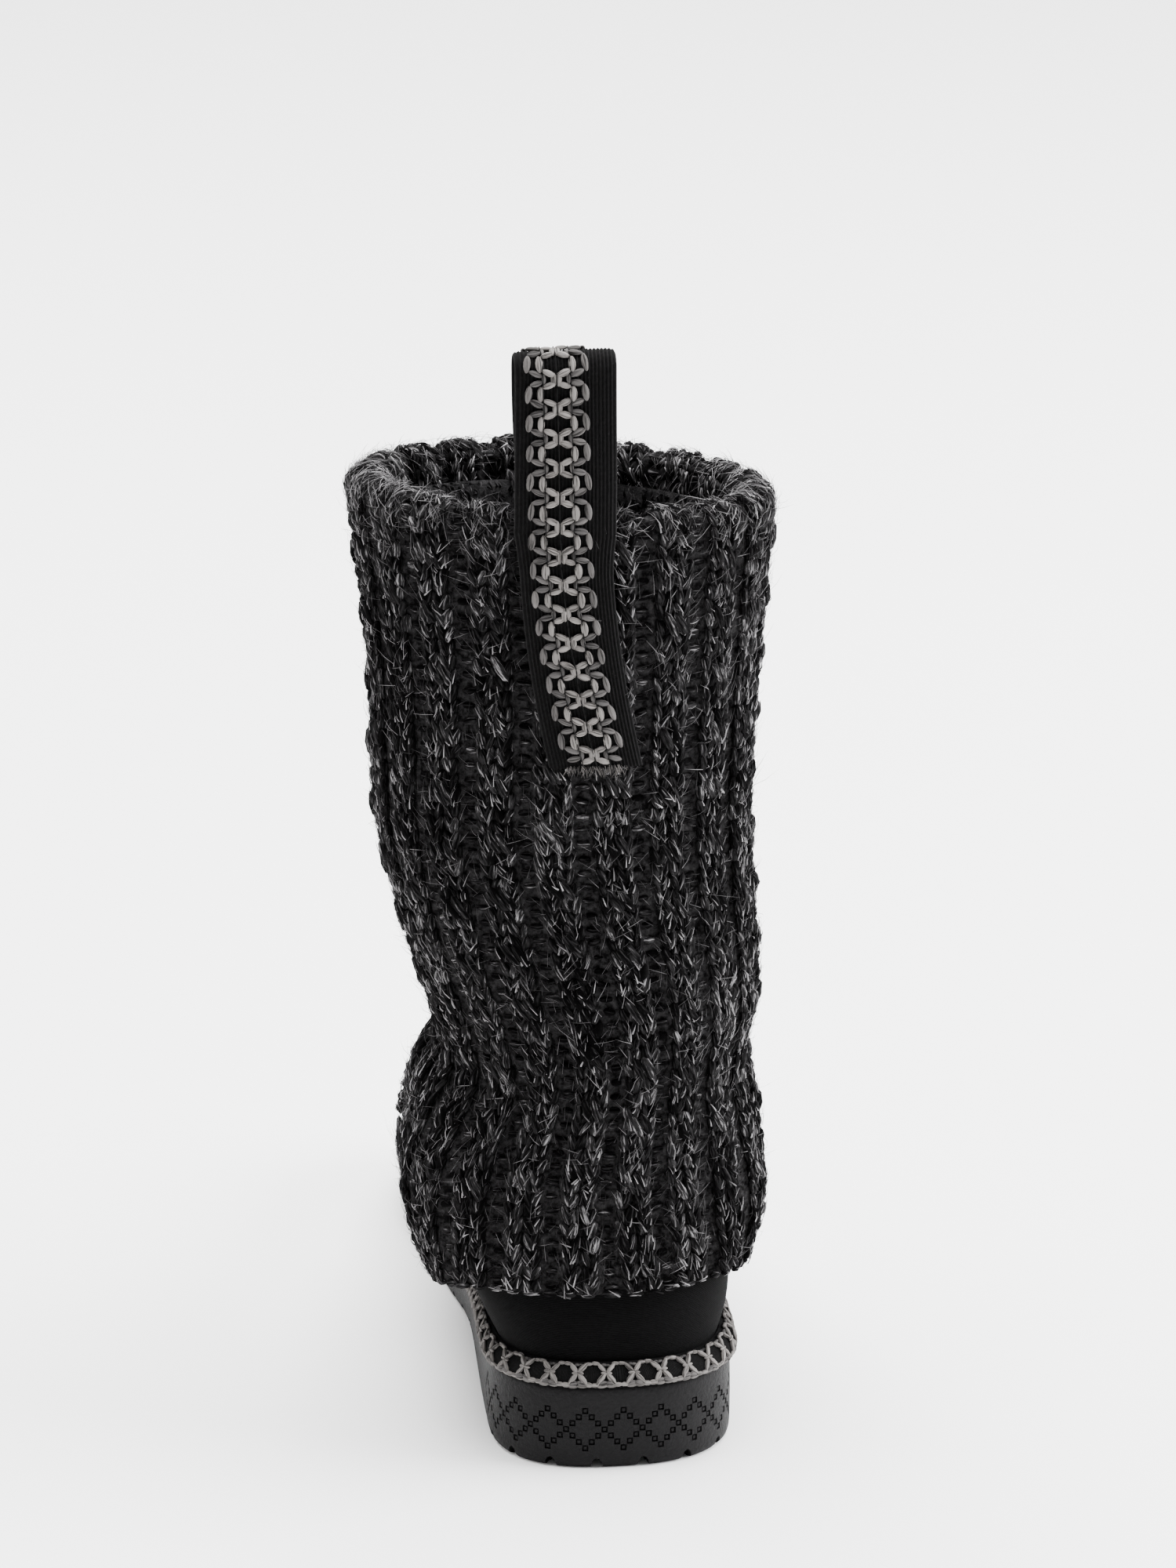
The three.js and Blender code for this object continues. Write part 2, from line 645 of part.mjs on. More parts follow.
function knitSleeve() {
  const outside = wallRings(overHem, sleeveOutside);
  const inside = wallRings(overHem, (angle, level) => GAP + slackAt(angle, level));

  // The roll over the collar, from its outside to its inside
  const outerOff = GAP + KNIT_WALL + ROPE_RISE;
  const innerOff = -(UPPER_WALL + GAP + KNIT_FOLD_WALL);
  const rollHeight = GAP + KNIT_WALL + ROPE_RISE;
  const topPoint = (angle, off, rise) => {
    const point = upperPoint(angle, TOP_LEVEL).addScaledVector(planNormal(RINGS[TOP_LEVEL], angle), off);
    point.z += rise;
    return point;
  };
  const roll = ROLL_BENDS.map((share) => ANGLES.map((angle) => {
    const bend = Math.PI * share;
    const off = lerp(outerOff, innerOff, (1 - Math.cos(bend)) / 2);
    return topPoint(angle, off, rollHeight * Math.sin(bend));
  }));

  // The edge turned in under the collar, and the slot that holds the upper's top
  const foldLevel = levelAt(UPPER_HEIGHT - KNIT_FOLD_DEPTH);
  const ringOf = (level, off) => ANGLES.map((angle) => upperPoint(angle, level, off));
  const fold = [
    ANGLES.map((angle) => topPoint(angle, innerOff, 0)),
    ringOf(foldLevel, innerOff),
    ringOf(foldLevel, -UPPER_WALL - GAP),
    ANGLES.map((angle) => topPoint(angle, -UPPER_WALL - GAP, GAP)),
    ANGLES.map((angle) => topPoint(angle, GAP, GAP)),
  ];
  const falling = inside.slice(0, -1).reverse();
  return closedLoft([...outside, ...roll, ...fold, ...falling], outside.length + roll.length);
}

// Pull tab: a strap sewn up the back of the sleeve, over the collar in a loop and down inside

function tabAside(height) {
  const upShaft = smoothstep(height, TAB_FOOT_HEIGHT, UPPER_HEIGHT);
  return lerp(TAB_ASIDE_AT_FOOT, TAB_ASIDE_AT_LOOP, Math.sqrt(upShaft));
}

// The angle at which a ring passes a given distance aside, near the heel's back
function angleAside(level, aside) {
  const ring = ringAt(level);
  let low = -Math.PI / 2;
  let high = Math.PI / 2;
  for (let step = 0; step < 24; step += 1) {
    const middle = (low + high) / 2;
    if (ringPoint(ring, middle).x < aside) {
      low = middle;
    } else {
      high = middle;
    }
  }
  return (low + high) / 2;
}

function tabWidth(height) {
  const toLoop = smoothstep(height, UPPER_HEIGHT - TAB_FLARE, UPPER_HEIGHT + TAB_FLARE);
  return lerp(TAB_WIDTH_ON_SHAFT, TAB_WIDTH_AT_LOOP, toLoop);
}

function pullTab() {
  const outsideOff = 2 * GAP + KNIT_WALL + ROPE_RISE + TAB_THICKNESS / 2;
  const insideOff = -(UPPER_WALL + 2 * GAP + KNIT_FOLD_WALL + TAB_THICKNESS / 2);
  const sewn = (height, off) => TAB_ACROSS.map((share) => {
    const level = levelAt(height);
    const aside = tabAside(height) + share * tabWidth(height) / 2;
    return upperPoint(angleAside(level, aside), level, off);
  });
  const outer = TAB_OUTER_ROWS.map((share) => sewn(lerp(TAB_FOOT_HEIGHT, UPPER_HEIGHT, share), outsideOff));
  const inner = TAB_INNER_ROWS.map((share) => sewn(UPPER_HEIGHT - share * TAB_INSIDE_LENGTH, insideOff));

  // Free loop: two legs that lean together and a round fold on top
  const outerFoot = outer[outer.length - 1];
  const innerFoot = inner[0];
  const centre = Math.floor(TAB_ACROSS.length / 2);
  const middleY = (outerFoot[centre].y + innerFoot[centre].y) / 2;
  const foldHeight = TAB_LOOP_HEIGHT - TAB_THICKNESS / 2 - TAB_LOOP_FOLD;
  const loopRow = (foot, away, height) => TAB_ACROSS.map((share, k) => {
    const lift = smoothstep(height, UPPER_HEIGHT, foldHeight);
    const aside = TAB_ASIDE_AT_LOOP + share * tabWidth(height) / 2;
    const x = lerp(foot[k].x, aside, Math.sqrt(lift));
    return new THREE.Vector3(x, lerp(foot[k].y, middleY + away, lift), height);
  });
  const leg = (foot, away, rows) => rows.map((share) => (
    loopRow(foot, away, lerp(UPPER_HEIGHT, foldHeight, share))
  ));
  const fold = TAB_FOLD_ROWS.map((share) => loopRow(outerFoot, TAB_LOOP_FOLD, foldHeight).map((point) => {
    const bend = share * Math.PI / 2;
    point.y -= TAB_LOOP_FOLD * (1 + Math.sin(bend));
    point.z += TAB_LOOP_FOLD * Math.cos(bend);
    return point;
  }));
  const up = leg(outerFoot, TAB_LOOP_FOLD, TAB_LEG_ROWS);
  const down = leg(innerFoot, -TAB_LOOP_FOLD, [...TAB_LEG_ROWS].reverse());
  return strapFrom([...outer, ...up, ...fold, ...down, ...inner]);
}

// A strap of even thickness about rows of points along its middle
function strapFrom(middle) {
  const last = middle.length - 1;
  const columns = middle[0].length;
  const face = (side) => middle.map((row, i) => row.map((point, k) => {
    const along = middle[Math.min(i + 1, last)][k].clone().sub(middle[Math.max(i - 1, 0)][k]);
    const acrossRow = row[Math.min(k + 1, columns - 1)].clone().sub(row[Math.max(k - 1, 0)]);
    const normal = along.cross(acrossRow).normalize();
    return point.clone().addScaledVector(normal, side * TAB_THICKNESS / 2);
  }));
  const sections = face(-1).map((row, i) => [...row, ...face(1)[i].reverse()]);
  const size = columns * 2;
  const triangles = [];
  for (let i = 0; i < last; i += 1) {
    for (let k = 0; k < size; k += 1) {
      const next = (k + 1) % size;
      const low = i * size;
      const high = low + size;
      triangles.push([low + k, low + next, high + next], [low + k, high + next, high + k]);
    }
  }
  const far = last * size;
  for (let k = 0; k + 1 < columns; k += 1) {
    const other = size - 1 - k;
    triangles.push([k + 1, k, other], [k + 1, other, other - 1]);
    triangles.push([far + k, far + k + 1, far + other], [far + k + 1, far + other - 1, far + other]);
  }
  return meshFrom(sections.flat(), triangles);
}

// The boot

const finish = (color, roughness) => new THREE.MeshStandardMaterial({ color, roughness, metalness: 0 });

function piece(name, geometry, material) {
  const mesh = new THREE.Mesh(geometry, material);
  mesh.name = name;
  return mesh;
}

const boot = new THREE.Group();
boot.add(piece('outsole', outsole(), finish(0x2b2b2d, 0.75)));
boot.add(piece('insole', insole(), finish(0x2a2a2b, 0.95)));
boot.add(piece('upper', upper(), finish(0x17171a, 0.9)));
boot.add(piece('sole_trim', soleTrim(), finish(0x121214, 0.85)));
boot.add(piece('knit_sleeve', knitSleeve(), finish(0x3c3b3e, 0.95)));
boot.add(piece('pull_tab', pullTab(), finish(0x151517, 0.85)));

export default boot;
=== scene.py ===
"""Pull-on winter boot with a chunky knit sleeve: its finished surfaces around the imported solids."""

import math

import bmesh
import bpy
import numpy as np
from bpy.props import FloatProperty, FloatVectorProperty, IntProperty, PointerProperty
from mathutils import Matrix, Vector


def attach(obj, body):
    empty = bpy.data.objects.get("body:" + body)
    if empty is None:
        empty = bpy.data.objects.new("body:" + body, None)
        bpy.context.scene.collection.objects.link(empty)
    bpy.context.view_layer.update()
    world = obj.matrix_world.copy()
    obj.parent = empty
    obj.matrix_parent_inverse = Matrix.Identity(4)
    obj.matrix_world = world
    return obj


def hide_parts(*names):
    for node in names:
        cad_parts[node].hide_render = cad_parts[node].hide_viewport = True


bl_info = {
    "name": "Winter Boot",
    "version": (1, 0, 0),
    "blender": (4, 5, 0),
    "location": "View3D > Sidebar > Boot",
    "description": "Builds a pull-on winter boot with a knit sleeve around its solid model",
    "category": "Object",
}

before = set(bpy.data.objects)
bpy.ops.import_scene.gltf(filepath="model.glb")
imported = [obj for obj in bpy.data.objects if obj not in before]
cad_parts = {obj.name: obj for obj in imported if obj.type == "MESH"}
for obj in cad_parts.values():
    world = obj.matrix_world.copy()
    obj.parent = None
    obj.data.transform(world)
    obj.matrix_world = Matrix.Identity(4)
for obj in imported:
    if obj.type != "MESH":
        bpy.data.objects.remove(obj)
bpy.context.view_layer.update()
MM = 0.001
TAU = 2 * math.pi

# Sizes of the boot in millimetres, the same as those of its solids
SOLE_LENGTH = 271
ORIGIN_FROM_BACK = 35
HEEL_WIDTH = 73
WAIST_WIDTH = 72
BALL_WIDTH = 88
HEEL_ROUND = 36
LAST_CURVE = 4.6
SOLE_AT_HEEL = 26
SOLE_AT_BALL = 15.3
ARCH_RISE = 2
TOE_SPRING = 10
SOLE_EDGE_ROUND = 1.6
SOLE_BOTTOM_ROUND = 2.2
ARCH_START, ARCH_END = 0.3, 0.54
WEDGE_START, WEDGE_END = 0.2, 0.46
SPRING_START, SPRING_POWER, SPRING_ON_TOP = 0.76, 1.8, 1.15
TOE_TAPER, SOLE_POWER = 0.74, 2.3
CURVE_CROSSING, CURVE_POWER = 0.93, 1.4
LUG_PITCH = 14
GROOVE_WIDTH = 3
GROOVE_DEPTH = 2.2
RIM_LUG_LENGTH = 11
UPPER_WALL = 3
UPPER_INSET = 5.5
INSTEP_RISE = 60
INSTEP_REACH = 152
BACK_HOLLOW = 12
ANKLE_WIDTH = 80
COLLAR_WIDTH = 115.2
COLLAR_FRONT = 99.5
UPPER_HEIGHT = 288
SHAFT_LEAN = 10.4
COLLAR_TILT = 7
COLLAR_FRONT_DROP = 2
KNIT_WALL = 3.6
ROPE_RISE = 1.9
KNIT_FOLD_WALL = 3.5
KNIT_FOLD_DEPTH = 13
SLEEVE_SLACK = 7
ROPES_AROUND = 20
INSOLE_THICKNESS = 4
TRIM_HEIGHT = 6.6
TRIM_LIP = 1.8
TRIM_PROUD = 1.4
TRIM_THICKNESS = 1.5
TAB_THICKNESS = 2.2
TAB_WIDTH_ON_SHAFT = 24.5
TAB_WIDTH_AT_LOOP = 29.5
TAB_FOOT_HEIGHT = 218
TAB_LOOP_HEIGHT = 341
TAB_LOOP_FOLD = 4
TAB_ASIDE_AT_FOOT = 7
TAB_ASIDE_AT_LOOP = 15
TAB_INSIDE_LENGTH = 20
TAB_FLARE = 14
GAP = 0.3
HEEL_END, WAIST_END, HALFWAY, SQUARER_HEEL = 0.18, 0.38, 0.5, 0.2
TURN_STEP, LEVEL_STEP = 0.03, 0.05


def columns(names, *rows):
    """A short table as arrays by column name."""
    return {name: np.array(values, float) for name, values in zip(names.split(), zip(*rows))}


# Rings of the upper below the instep, as shares of the sizes above
FOOT = columns(
    "up follow back front heel waist ball",
    (0.00, 1.00, 0.46, 1.000, 0.85, 0.85, 0.88),
    (0.11, 1.00, 0.36, 1.013, 0.93, 0.94, 0.94),
    (0.25, 0.85, 0.30, 1.004, 1.02, 1.02, 0.97),
    (0.38, 0.65, 0.35, 0.943, 1.08, 1.07, 0.96),
    (0.50, 0.45, 0.46, 0.819, 1.14, 1.10, 0.92),
    (0.60, 0.25, 0.57, 0.634, 1.18, 1.12, 0.87),
    (0.72, 0.10, 0.69, 0.414, 1.21, 1.14, 0.83),
    (0.85, 0.00, 0.82, 0.194, 1.23, 1.17, 0.82),
    (1.00, 0.00, 0.92, 0.000, 1.22, 1.18, 0.88),
)

# Rings of the shaft from the instep to the collar
SHAFT = columns(
    "up back front width tilt",
    (0.06, 1.00, 0.695, 0.17, 0.0),
    (0.13, 1.05, 0.467, 0.00, 0.0),
    (0.22, 1.04, 0.295, 0.22, 0.0),
    (0.34, 1.00, 0.180, 0.41, 0.0),
    (0.52, 0.97, 0.105, 0.59, 0.1),
    (0.75, 0.97, 0.040, 0.71, 0.5),
    (1.00, 1.00, 0.000, 1.00, 1.0),
)

# How every ring closes at its ends, leans aside, and how slack the sleeve hangs on it
ENDS = columns(
    "round taper power lean medial lateral",
    (0.13, 0.74, 2.30, 0.00, 0.00, 0.00),
    (0.14, 0.74, 2.30, 0.02, 0.20, 0.00),
    (0.15, 0.74, 2.35, 0.08, 0.70, 0.00),
    (0.16, 0.74, 2.30, 0.18, 0.90, 0.00),
    (0.18, 0.73, 2.10, 0.24, 1.00, 0.18),
    (0.20, 0.72, 2.00, 0.26, 1.00, 0.42),
    (0.23, 0.71, 1.95, 0.31, 1.00, 0.62),
    (0.28, 0.69, 1.95, 0.35, 0.93, 0.72),
    (0.34, 0.65, 2.00, 0.34, 0.72, 0.72),
    (0.40, 0.60, 2.00, 0.20, 0.30, 0.42),
    (0.44, 0.57, 2.00, 0.02, 0.02, 0.04),
    (0.47, 0.54, 2.00, 0.06, 0.00, 0.00),
    (0.48, 0.52, 2.00, 0.46, 0.00, 0.00),
    (0.49, 0.51, 2.00, 0.95, 0.00, 0.00),
    (0.50, 0.50, 2.00, 0.93, 0.00, 0.00),
    (0.50, 0.50, 2.00, 1.00, 0.00, 0.00),
)

# The sleeve's hem, from the heel's back round to the front, as shares of INSTEP_RISE
HEM = columns(
    "around up",
    (0.00, 0.47),
    (0.22, 0.46),
    (0.36, 0.42),
    (0.50, 0.36),
    (0.64, 0.41),
    (0.80, 0.68),
    (0.92, 0.88),
    (1.00, 0.92),
)

# Strokes of yarn in one repeat of the tab's embroidery: across and along the tab in millimetres
# from the middle of a crossing, mirrored to both sides. shade: 1 for the light cord.
EMBROIDERY_REPEAT = 8.65
EMBROIDERY = columns(
    "x0 y0 x1 y1 width lift shade",
    (0.65, -1.7, 0.65, 1.7, 1.6, 0.3, 1.00),
    (0.50, 1.1, 3.95, 2.6, 1.7, 0.5, 0.96),
    (0.50, -1.1, 3.95, -2.3, 1.7, 0.5, 1.00),
    (3.60, -1.3, 3.60, 1.3, 1.2, 0.0, 0.45),
    (4.75, 2.2, 4.70, 6.3, 2.0, 0.4, 0.97),
    (4.10, 1.0, 7.70, 2.5, 1.7, 0.2, 0.45),
    (4.10, -0.7, 7.70, -1.5, 1.7, 0.2, 0.40),
    (8.55, 2.2, 7.95, 6.9, 1.8, 0.3, 0.50),
)

# Strokes of yarn in one repeat of the trim: along and up the band, in millimetres and in shares of
# its height, mirrored about the crossing
TRIM_REPEAT = 8.45
TRIM_STITCHES = columns(
    "x0 y0 x1 y1 width lift shade",
    (0.25, 0.56, 2.45, 0.95, 1.35, 0.5, 1.00),
    (0.25, 0.48, 2.50, 0.06, 1.45, 0.5, 0.98),
    (2.20, 0.98, 4.30, 1.02, 1.15, 0.2, 0.92),
    (0.00, 0.52, 1.50, 0.52, 0.90, 1.0, 1.00),
    (0.00, 0.93, 1.15, 0.93, 0.95, 0.0, 0.45),
    (2.10, 0.03, 4.40, 0.03, 1.30, 0.2, 0.96),
    (0.00, 0.14, 2.30, 0.07, 1.40, 0.1, 0.50),
    (0.00, -0.01, 2.60, -0.03, 1.15, 0.4, 0.70),
)


def lerp(low, high, share):
    return low + (high - low) * share


def smoothstep(value, low, high):
    share = np.clip((value - low) / (high - low), 0, 1)
    return share * share * (3 - 2 * share)


def toe_lift(d):
    past_ball = np.clip((d / SOLE_LENGTH - SPRING_START) / (1 - SPRING_START), 0, 1)
    return TOE_SPRING * past_ball**SPRING_POWER


def sole_bottom(d):
    along_arch = np.clip((d / SOLE_LENGTH - ARCH_START) / (ARCH_END - ARCH_START), 0, 1)
    return ARCH_RISE * np.sin(math.pi * along_arch) ** 2 + toe_lift(d)


def sole_top(d):
    wedge = smoothstep(d / SOLE_LENGTH, WEDGE_START, WEDGE_END)
    return lerp(SOLE_AT_HEEL, SOLE_AT_BALL, wedge) + SPRING_ON_TOP * toe_lift(d)


def centre_line(d):
    along = np.maximum(d, 0) / (CURVE_CROSSING * SOLE_LENGTH)
    return -LAST_CURVE * np.sin(math.pi * along**CURVE_POWER)


def rounded_end(share, power):
    return (1 - (1 - np.clip(share, 0, 1)) ** power) ** (1 / power)


def catmull(rows, level):
    """Values between the rows of an array, on a smooth curve through them."""
    last = len(rows) - 1
    i = np.clip(np.floor(level).astype(int), 0, last - 1)
    a, b, c, d = (rows[np.clip(i + k, 0, last)] for k in (-1, 0, 1, 2))
    u = level - i
    from_ends = b * (2 * u**3 - 3 * u**2 + 1) + c * (3 * u**2 - 2 * u**3)
    return from_ends + (c - a) / 2 * (u**3 - 2 * u**2 + u) + (d - b) / 2 * (u**3 - u**2)


def ring_rows():
    """Every ring's sizes in millimetres, from the sole to the collar."""
    foot_count, shaft_count = len(FOOT["up"]), len(SHAFT["up"])
    instep = SOLE_AT_HEEL + INSTEP_RISE
    half = lerp(ANKLE_WIDTH, COLLAR_WIDTH, SHAFT["width"]) / 2
    up_shaft = lerp(instep, UPPER_HEIGHT, SHAFT["up"])
    return {
        "height": np.append(SOLE_AT_HEEL + FOOT["up"] * INSTEP_RISE, up_shaft),
        "follow": np.append(FOOT["follow"], np.zeros(shaft_count)),
        "back": np.append(FOOT["back"], SHAFT["back"]) * BACK_HOLLOW,
        "front": np.append(
            lerp(INSTEP_REACH, SOLE_LENGTH - UPPER_INSET, FOOT["front"]),
            lerp(COLLAR_FRONT, INSTEP_REACH, SHAFT["front"]),
        ),
        "heel": np.append(FOOT["heel"] * HEEL_WIDTH / 2, half),
        "waist": np.append(FOOT["waist"] * WAIST_WIDTH / 2, half),
        "ball": np.append(FOOT["ball"] * BALL_WIDTH / 2, half),
        "tilt": np.append(np.zeros(foot_count), SHAFT["tilt"]),
        "curve": np.append(1 - FOOT["up"], np.zeros(shaft_count)),
        "round": ENDS["round"],
        "taper": ENDS["taper"],
        "power": ENDS["power"],
        "lean": ENDS["lean"] * SHAFT_LEAN,
        "medial": ENDS["medial"] * SLEEVE_SLACK,
        "lateral": ENDS["lateral"] * SLEEVE_SLACK,
    }


RINGS = ring_rows()
TOP_LEVEL = len(RINGS["height"]) - 1
SOLE_RING = {
    "height": 0,
    "follow": 0,
    "back": 0,
    "front": SOLE_LENGTH,
    "heel": HEEL_WIDTH / 2,
    "waist": WAIST_WIDTH / 2,
    "ball": BALL_WIDTH / 2,
    "lean": 0,
    "tilt": 0,
    "round": HEEL_ROUND / SOLE_LENGTH,
    "taper": TOE_TAPER,
    "power": SOLE_POWER,
    "curve": 1,
}


def ring_at(level):
    return {key: catmull(rows, level) for key, rows in RINGS.items()}


def ring_point(ring, angle):
    """Points of a ring: angle 0 at the heel's back, a quarter turn at the medial side, half in front."""
    turn = (1 - np.cos(angle)) / 2
    reach = np.minimum(ring["front"], COLLAR_FRONT + BACK_HOLLOW)
    d = ring["back"] + (reach - ring["back"]) * turn + (ring["front"] - reach) * turn**3
    share = (d - ring["back"]) / (ring["front"] - ring["back"])
    to_waist = lerp(ring["heel"], ring["waist"], smoothstep(share, HEEL_END, WAIST_END))
    ball_from = np.maximum(ring["taper"], HALFWAY)
    to_ball = lerp(to_waist, ring["ball"], smoothstep(share, WAIST_END, ball_from))
    back_end = rounded_end(share / ring["round"], ring["power"] + SQUARER_HEEL * ring["curve"])
    front_end = rounded_end((1 - share) / (1 - ring["taper"]), ring["power"])
    aside = np.sign(np.sin(angle)) * to_ball * back_end * front_end
    tilt = ring["tilt"] * (COLLAR_TILT / 2 * aside / to_ball - COLLAR_FRONT_DROP * turn)
    x = ring["lean"] + ring["curve"] * centre_line(d) + aside
    z = ring["height"] + ring["follow"] * (sole_top(d) - SOLE_AT_HEEL) + tilt
    return np.stack(np.broadcast_arrays(x, ORIGIN_FROM_BACK - d, z), axis=-1)


def unit(vectors):
    return vectors / np.maximum(np.linalg.norm(vectors, axis=-1, keepdims=True), 1e-12)


def plan_normal(ring, angle):
    along = ring_point(ring, angle + TURN_STEP) - ring_point(ring, angle - TURN_STEP)
    return unit(np.stack([-along[..., 1], along[..., 0], np.zeros(along.shape[:-1])], axis=-1))


def surface_normal(angle, level):
    """Outward normal of the upper, which turns level at the collar."""
    above = ring_point(ring_at(np.minimum(level + LEVEL_STEP, TOP_LEVEL)), angle)
    below = ring_point(ring_at(np.maximum(level - LEVEL_STEP, 0)), angle)
    ring = ring_at(level)
    around = ring_point(ring, angle + TURN_STEP) - ring_point(ring, angle - TURN_STEP)
    normal = unit(np.cross(above - below, around))
    to_top = smoothstep(level, TOP_LEVEL - 0.6, TOP_LEVEL)[..., None]
    return unit(lerp(normal, plan_normal(ring, angle), to_top))


def upper_point(angle, level, off=0.0):
    point = ring_point(ring_at(level), angle)
    return point + surface_normal(angle, level) * np.broadcast_to(off, point.shape[:-1])[..., None]


def upper_rows(angles, levels, off=0.0):
    """Whole rings of the upper at several levels, moved off its outside."""
    return np.array([upper_point(angles, np.full(angles.shape, float(level)), off) for level in levels])


def level_at(height):
    """Levels of the rings at given heights above the floor, at the heel's back."""
    levels = np.linspace(0, TOP_LEVEL, 1501)
    return np.interp(height, catmull(RINGS["height"], levels), levels)


def hem_level(angle):
    around = 1 - np.abs(1 - np.mod(angle, TAU) / math.pi)
    places = np.interp(around, HEM["around"], np.arange(len(HEM["around"])))
    mirrored = np.concatenate([HEM["up"][1:2], HEM["up"], HEM["up"][-2:-1]])
    return level_at(SOLE_AT_HEEL + catmull(mirrored, places + 1) * INSTEP_RISE)


def slack_at(angle, level):
    ring = ring_at(level)
    slack = np.where(np.mod(angle, TAU) < math.pi, ring["medial"], ring["lateral"])
    return np.maximum(slack, 0) * np.sin(angle) ** 2


def around_angles(count):
    """Angles that go once round, with the first again at the end."""
    return TAU * np.arange(count + 1) / count


def walked_along(points):
    """How far along a line each of its points is."""
    return np.append(0, np.cumsum(np.linalg.norm(np.diff(points, axis=0), axis=1)))


class Skin:
    """A surface in millimetres, sampled at [row, column], that other pieces are sewn to."""

    def __init__(self, points, closed=True):
        self.points = points
        self.closed = closed
        across = np.gradient(points, axis=1)
        if closed:
            across[:, 0] = across[:, -1] = (points[:, 1] - points[:, -2]) / 2
        up = np.gradient(points, axis=0)
        self.normals = unit(np.cross(across, up))
        self.outward = -1 if closed else 1

    def sample(self, values, column, row):
        """Values at fractional columns and rows."""
        rows, width = values.shape[0] - 1, values.shape[1] - 1
        column = np.mod(column, width) if self.closed else np.clip(column, 0, width)
        row = np.clip(row, 0, rows)
        i = np.minimum(np.floor(column).astype(int), width - 1)
        j = np.minimum(np.floor(row).astype(int), rows - 1)
        a, b = (column - i)[..., None], (row - j)[..., None]
        near = lerp(values[j, i], values[j, i + 1], a)
        far = lerp(values[j + 1, i], values[j + 1, i + 1], a)
        return lerp(near, far, b)

    def at(self, column, row, lift=0.0):
        """Points lifted off the surface, in millimetres."""
        normal = self.normal(column, row)
        lifts = np.broadcast_to(lift, normal.shape[:-1])[..., None]
        return self.sample(self.points, column, row) + normal * lifts

    def normal(self, column, row):
        return self.outward * unit(self.sample(self.normals, column, row))


def even_rows(points, count):
    """The same surface with its rows evenly spaced along every column."""
    steps = np.linalg.norm(np.diff(points, axis=0), axis=-1)
    length = np.vstack([np.zeros(points.shape[1]), np.cumsum(steps, axis=0)])
    result = np.empty((count + 1, points.shape[1], 3))
    for i in range(points.shape[1]):
        wanted = np.linspace(0, length[-1, i], count + 1)
        for axis in range(3):
            result[:, i, axis] = np.interp(wanted, length[:, i], points[:, i, axis])
    return result


def grid_bmesh(points, uv_size):
    """A grid of quads through points[row, column] in millimetres, with a UV map of uv_size."""
    rows, width = points.shape[0] - 1, points.shape[1] - 1
    bm = bmesh.new()
    uv = bm.loops.layers.uv.new("UVMap")
    bmesh.ops.create_grid(bm, x_segments=width, y_segments=rows, size=0.5, calc_uvs=True)
    for face in bm.faces:
        for loop in face.loops:
            loop[uv].uv = (loop[uv].uv.x * uv_size[0], loop[uv].uv.y * uv_size[1])
    for vert in bm.verts:
        column = round((vert.co.x + 0.5) * width)
        row = round((vert.co.y + 0.5) * rows)
        vert.co = Vector(points[row, column]) * MM
    return bm


def close_seams(bm, distance=0.01):
    """Merge the vertices that meet at a seam and turn every face outwards."""
    bmesh.ops.remove_doubles(bm, verts=bm.verts, dist=distance * MM)
    bmesh.ops.dissolve_degenerate(bm, edges=bm.edges, dist=distance * MM)
    bmesh.ops.recalc_face_normals(bm, faces=bm.faces)
    return bm


def object_from(name, bm):
    """An object at the origin with the bmesh's shape."""
    mesh = bpy.data.meshes.new(name)
    bm.to_mesh(mesh)
    bm.free()
    piece = bpy.data.objects.new(name, mesh)
    bpy.context.scene.collection.objects.link(piece)
    return piece


def dress(piece, material, slot, *nodes, sharp=None):
    """Finish a piece: smooth shading, its material, and the solid that it stands for; the slot is not
    used.
    """
    piece.data.materials.clear()
    piece.data.materials.append(material)
    piece.data.shade_smooth()
    if sharp is not None:
        piece.data.set_sharp_from_angle(angle=math.radians(sharp))
    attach(piece, "root")
    if nodes:
        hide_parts(*nodes)
    return piece


def stroke_template(sides, rings, fullness, lobes):
    """One short stroke of yarn along Y, a unit long and wide, with plies that twist round it."""
    bm = bmesh.new()
    bm.loops.layers.uv.new("UVMap")
    bmesh.ops.create_uvsphere(bm, u_segments=sides, v_segments=rings, radius=0.5, calc_uvs=True)
    for vert in bm.verts:
        along = vert.co.z * 2
        turn = math.atan2(vert.co.y, vert.co.x)
        radius = 0.5 * (1 - abs(along) ** fullness) ** 0.5
        if lobes:
            radius *= 1 + 0.1 * math.cos(lobes * turn + 2.2 * along)
        vert.co = (radius * math.cos(turn), along / 2, -radius * math.sin(turn))
    bmesh.ops.triangulate(bm, faces=bm.faces)
    bmesh.ops.recalc_face_normals(bm, faces=bm.faces)
    return bm


def hair_template(bends):
    """One hair along Y, a unit long, three-sided and tapered, and straight; joined bows it up in its
    middle.
    """
    bm = bmesh.new()
    bm.loops.layers.uv.new("UVMap")
    ring = bmesh.ops.create_circle(bm, segments=3, radius=0.5)["verts"]
    edges = list({edge for vert in ring for edge in vert.link_edges})
    for vert in ring:
        vert.co = (vert.co.x, -0.5, vert.co.y)
    for step in range(1, bends + 1):
        new = bmesh.ops.extrude_edge_only(bm, edges=edges)["geom"]
        verts = [item for item in new if isinstance(item, bmesh.types.BMVert)]
        edges = [item for item in new if isinstance(item, bmesh.types.BMEdge)]
        along = step / bends
        middle = sum((vert.co for vert in verts), Vector()) / len(verts)
        for vert in verts:
            spread = (vert.co - middle) * (0.72 if step < bends else 0.25)
            vert.co = spread + Vector((0, along - 0.5, middle.z))
    bmesh.ops.holes_fill(bm, edges=bm.edges, sides=3)
    bmesh.ops.triangulate(bm, faces=bm.faces)
    bmesh.ops.recalc_face_normals(bm, faces=bm.faces)
    return bm


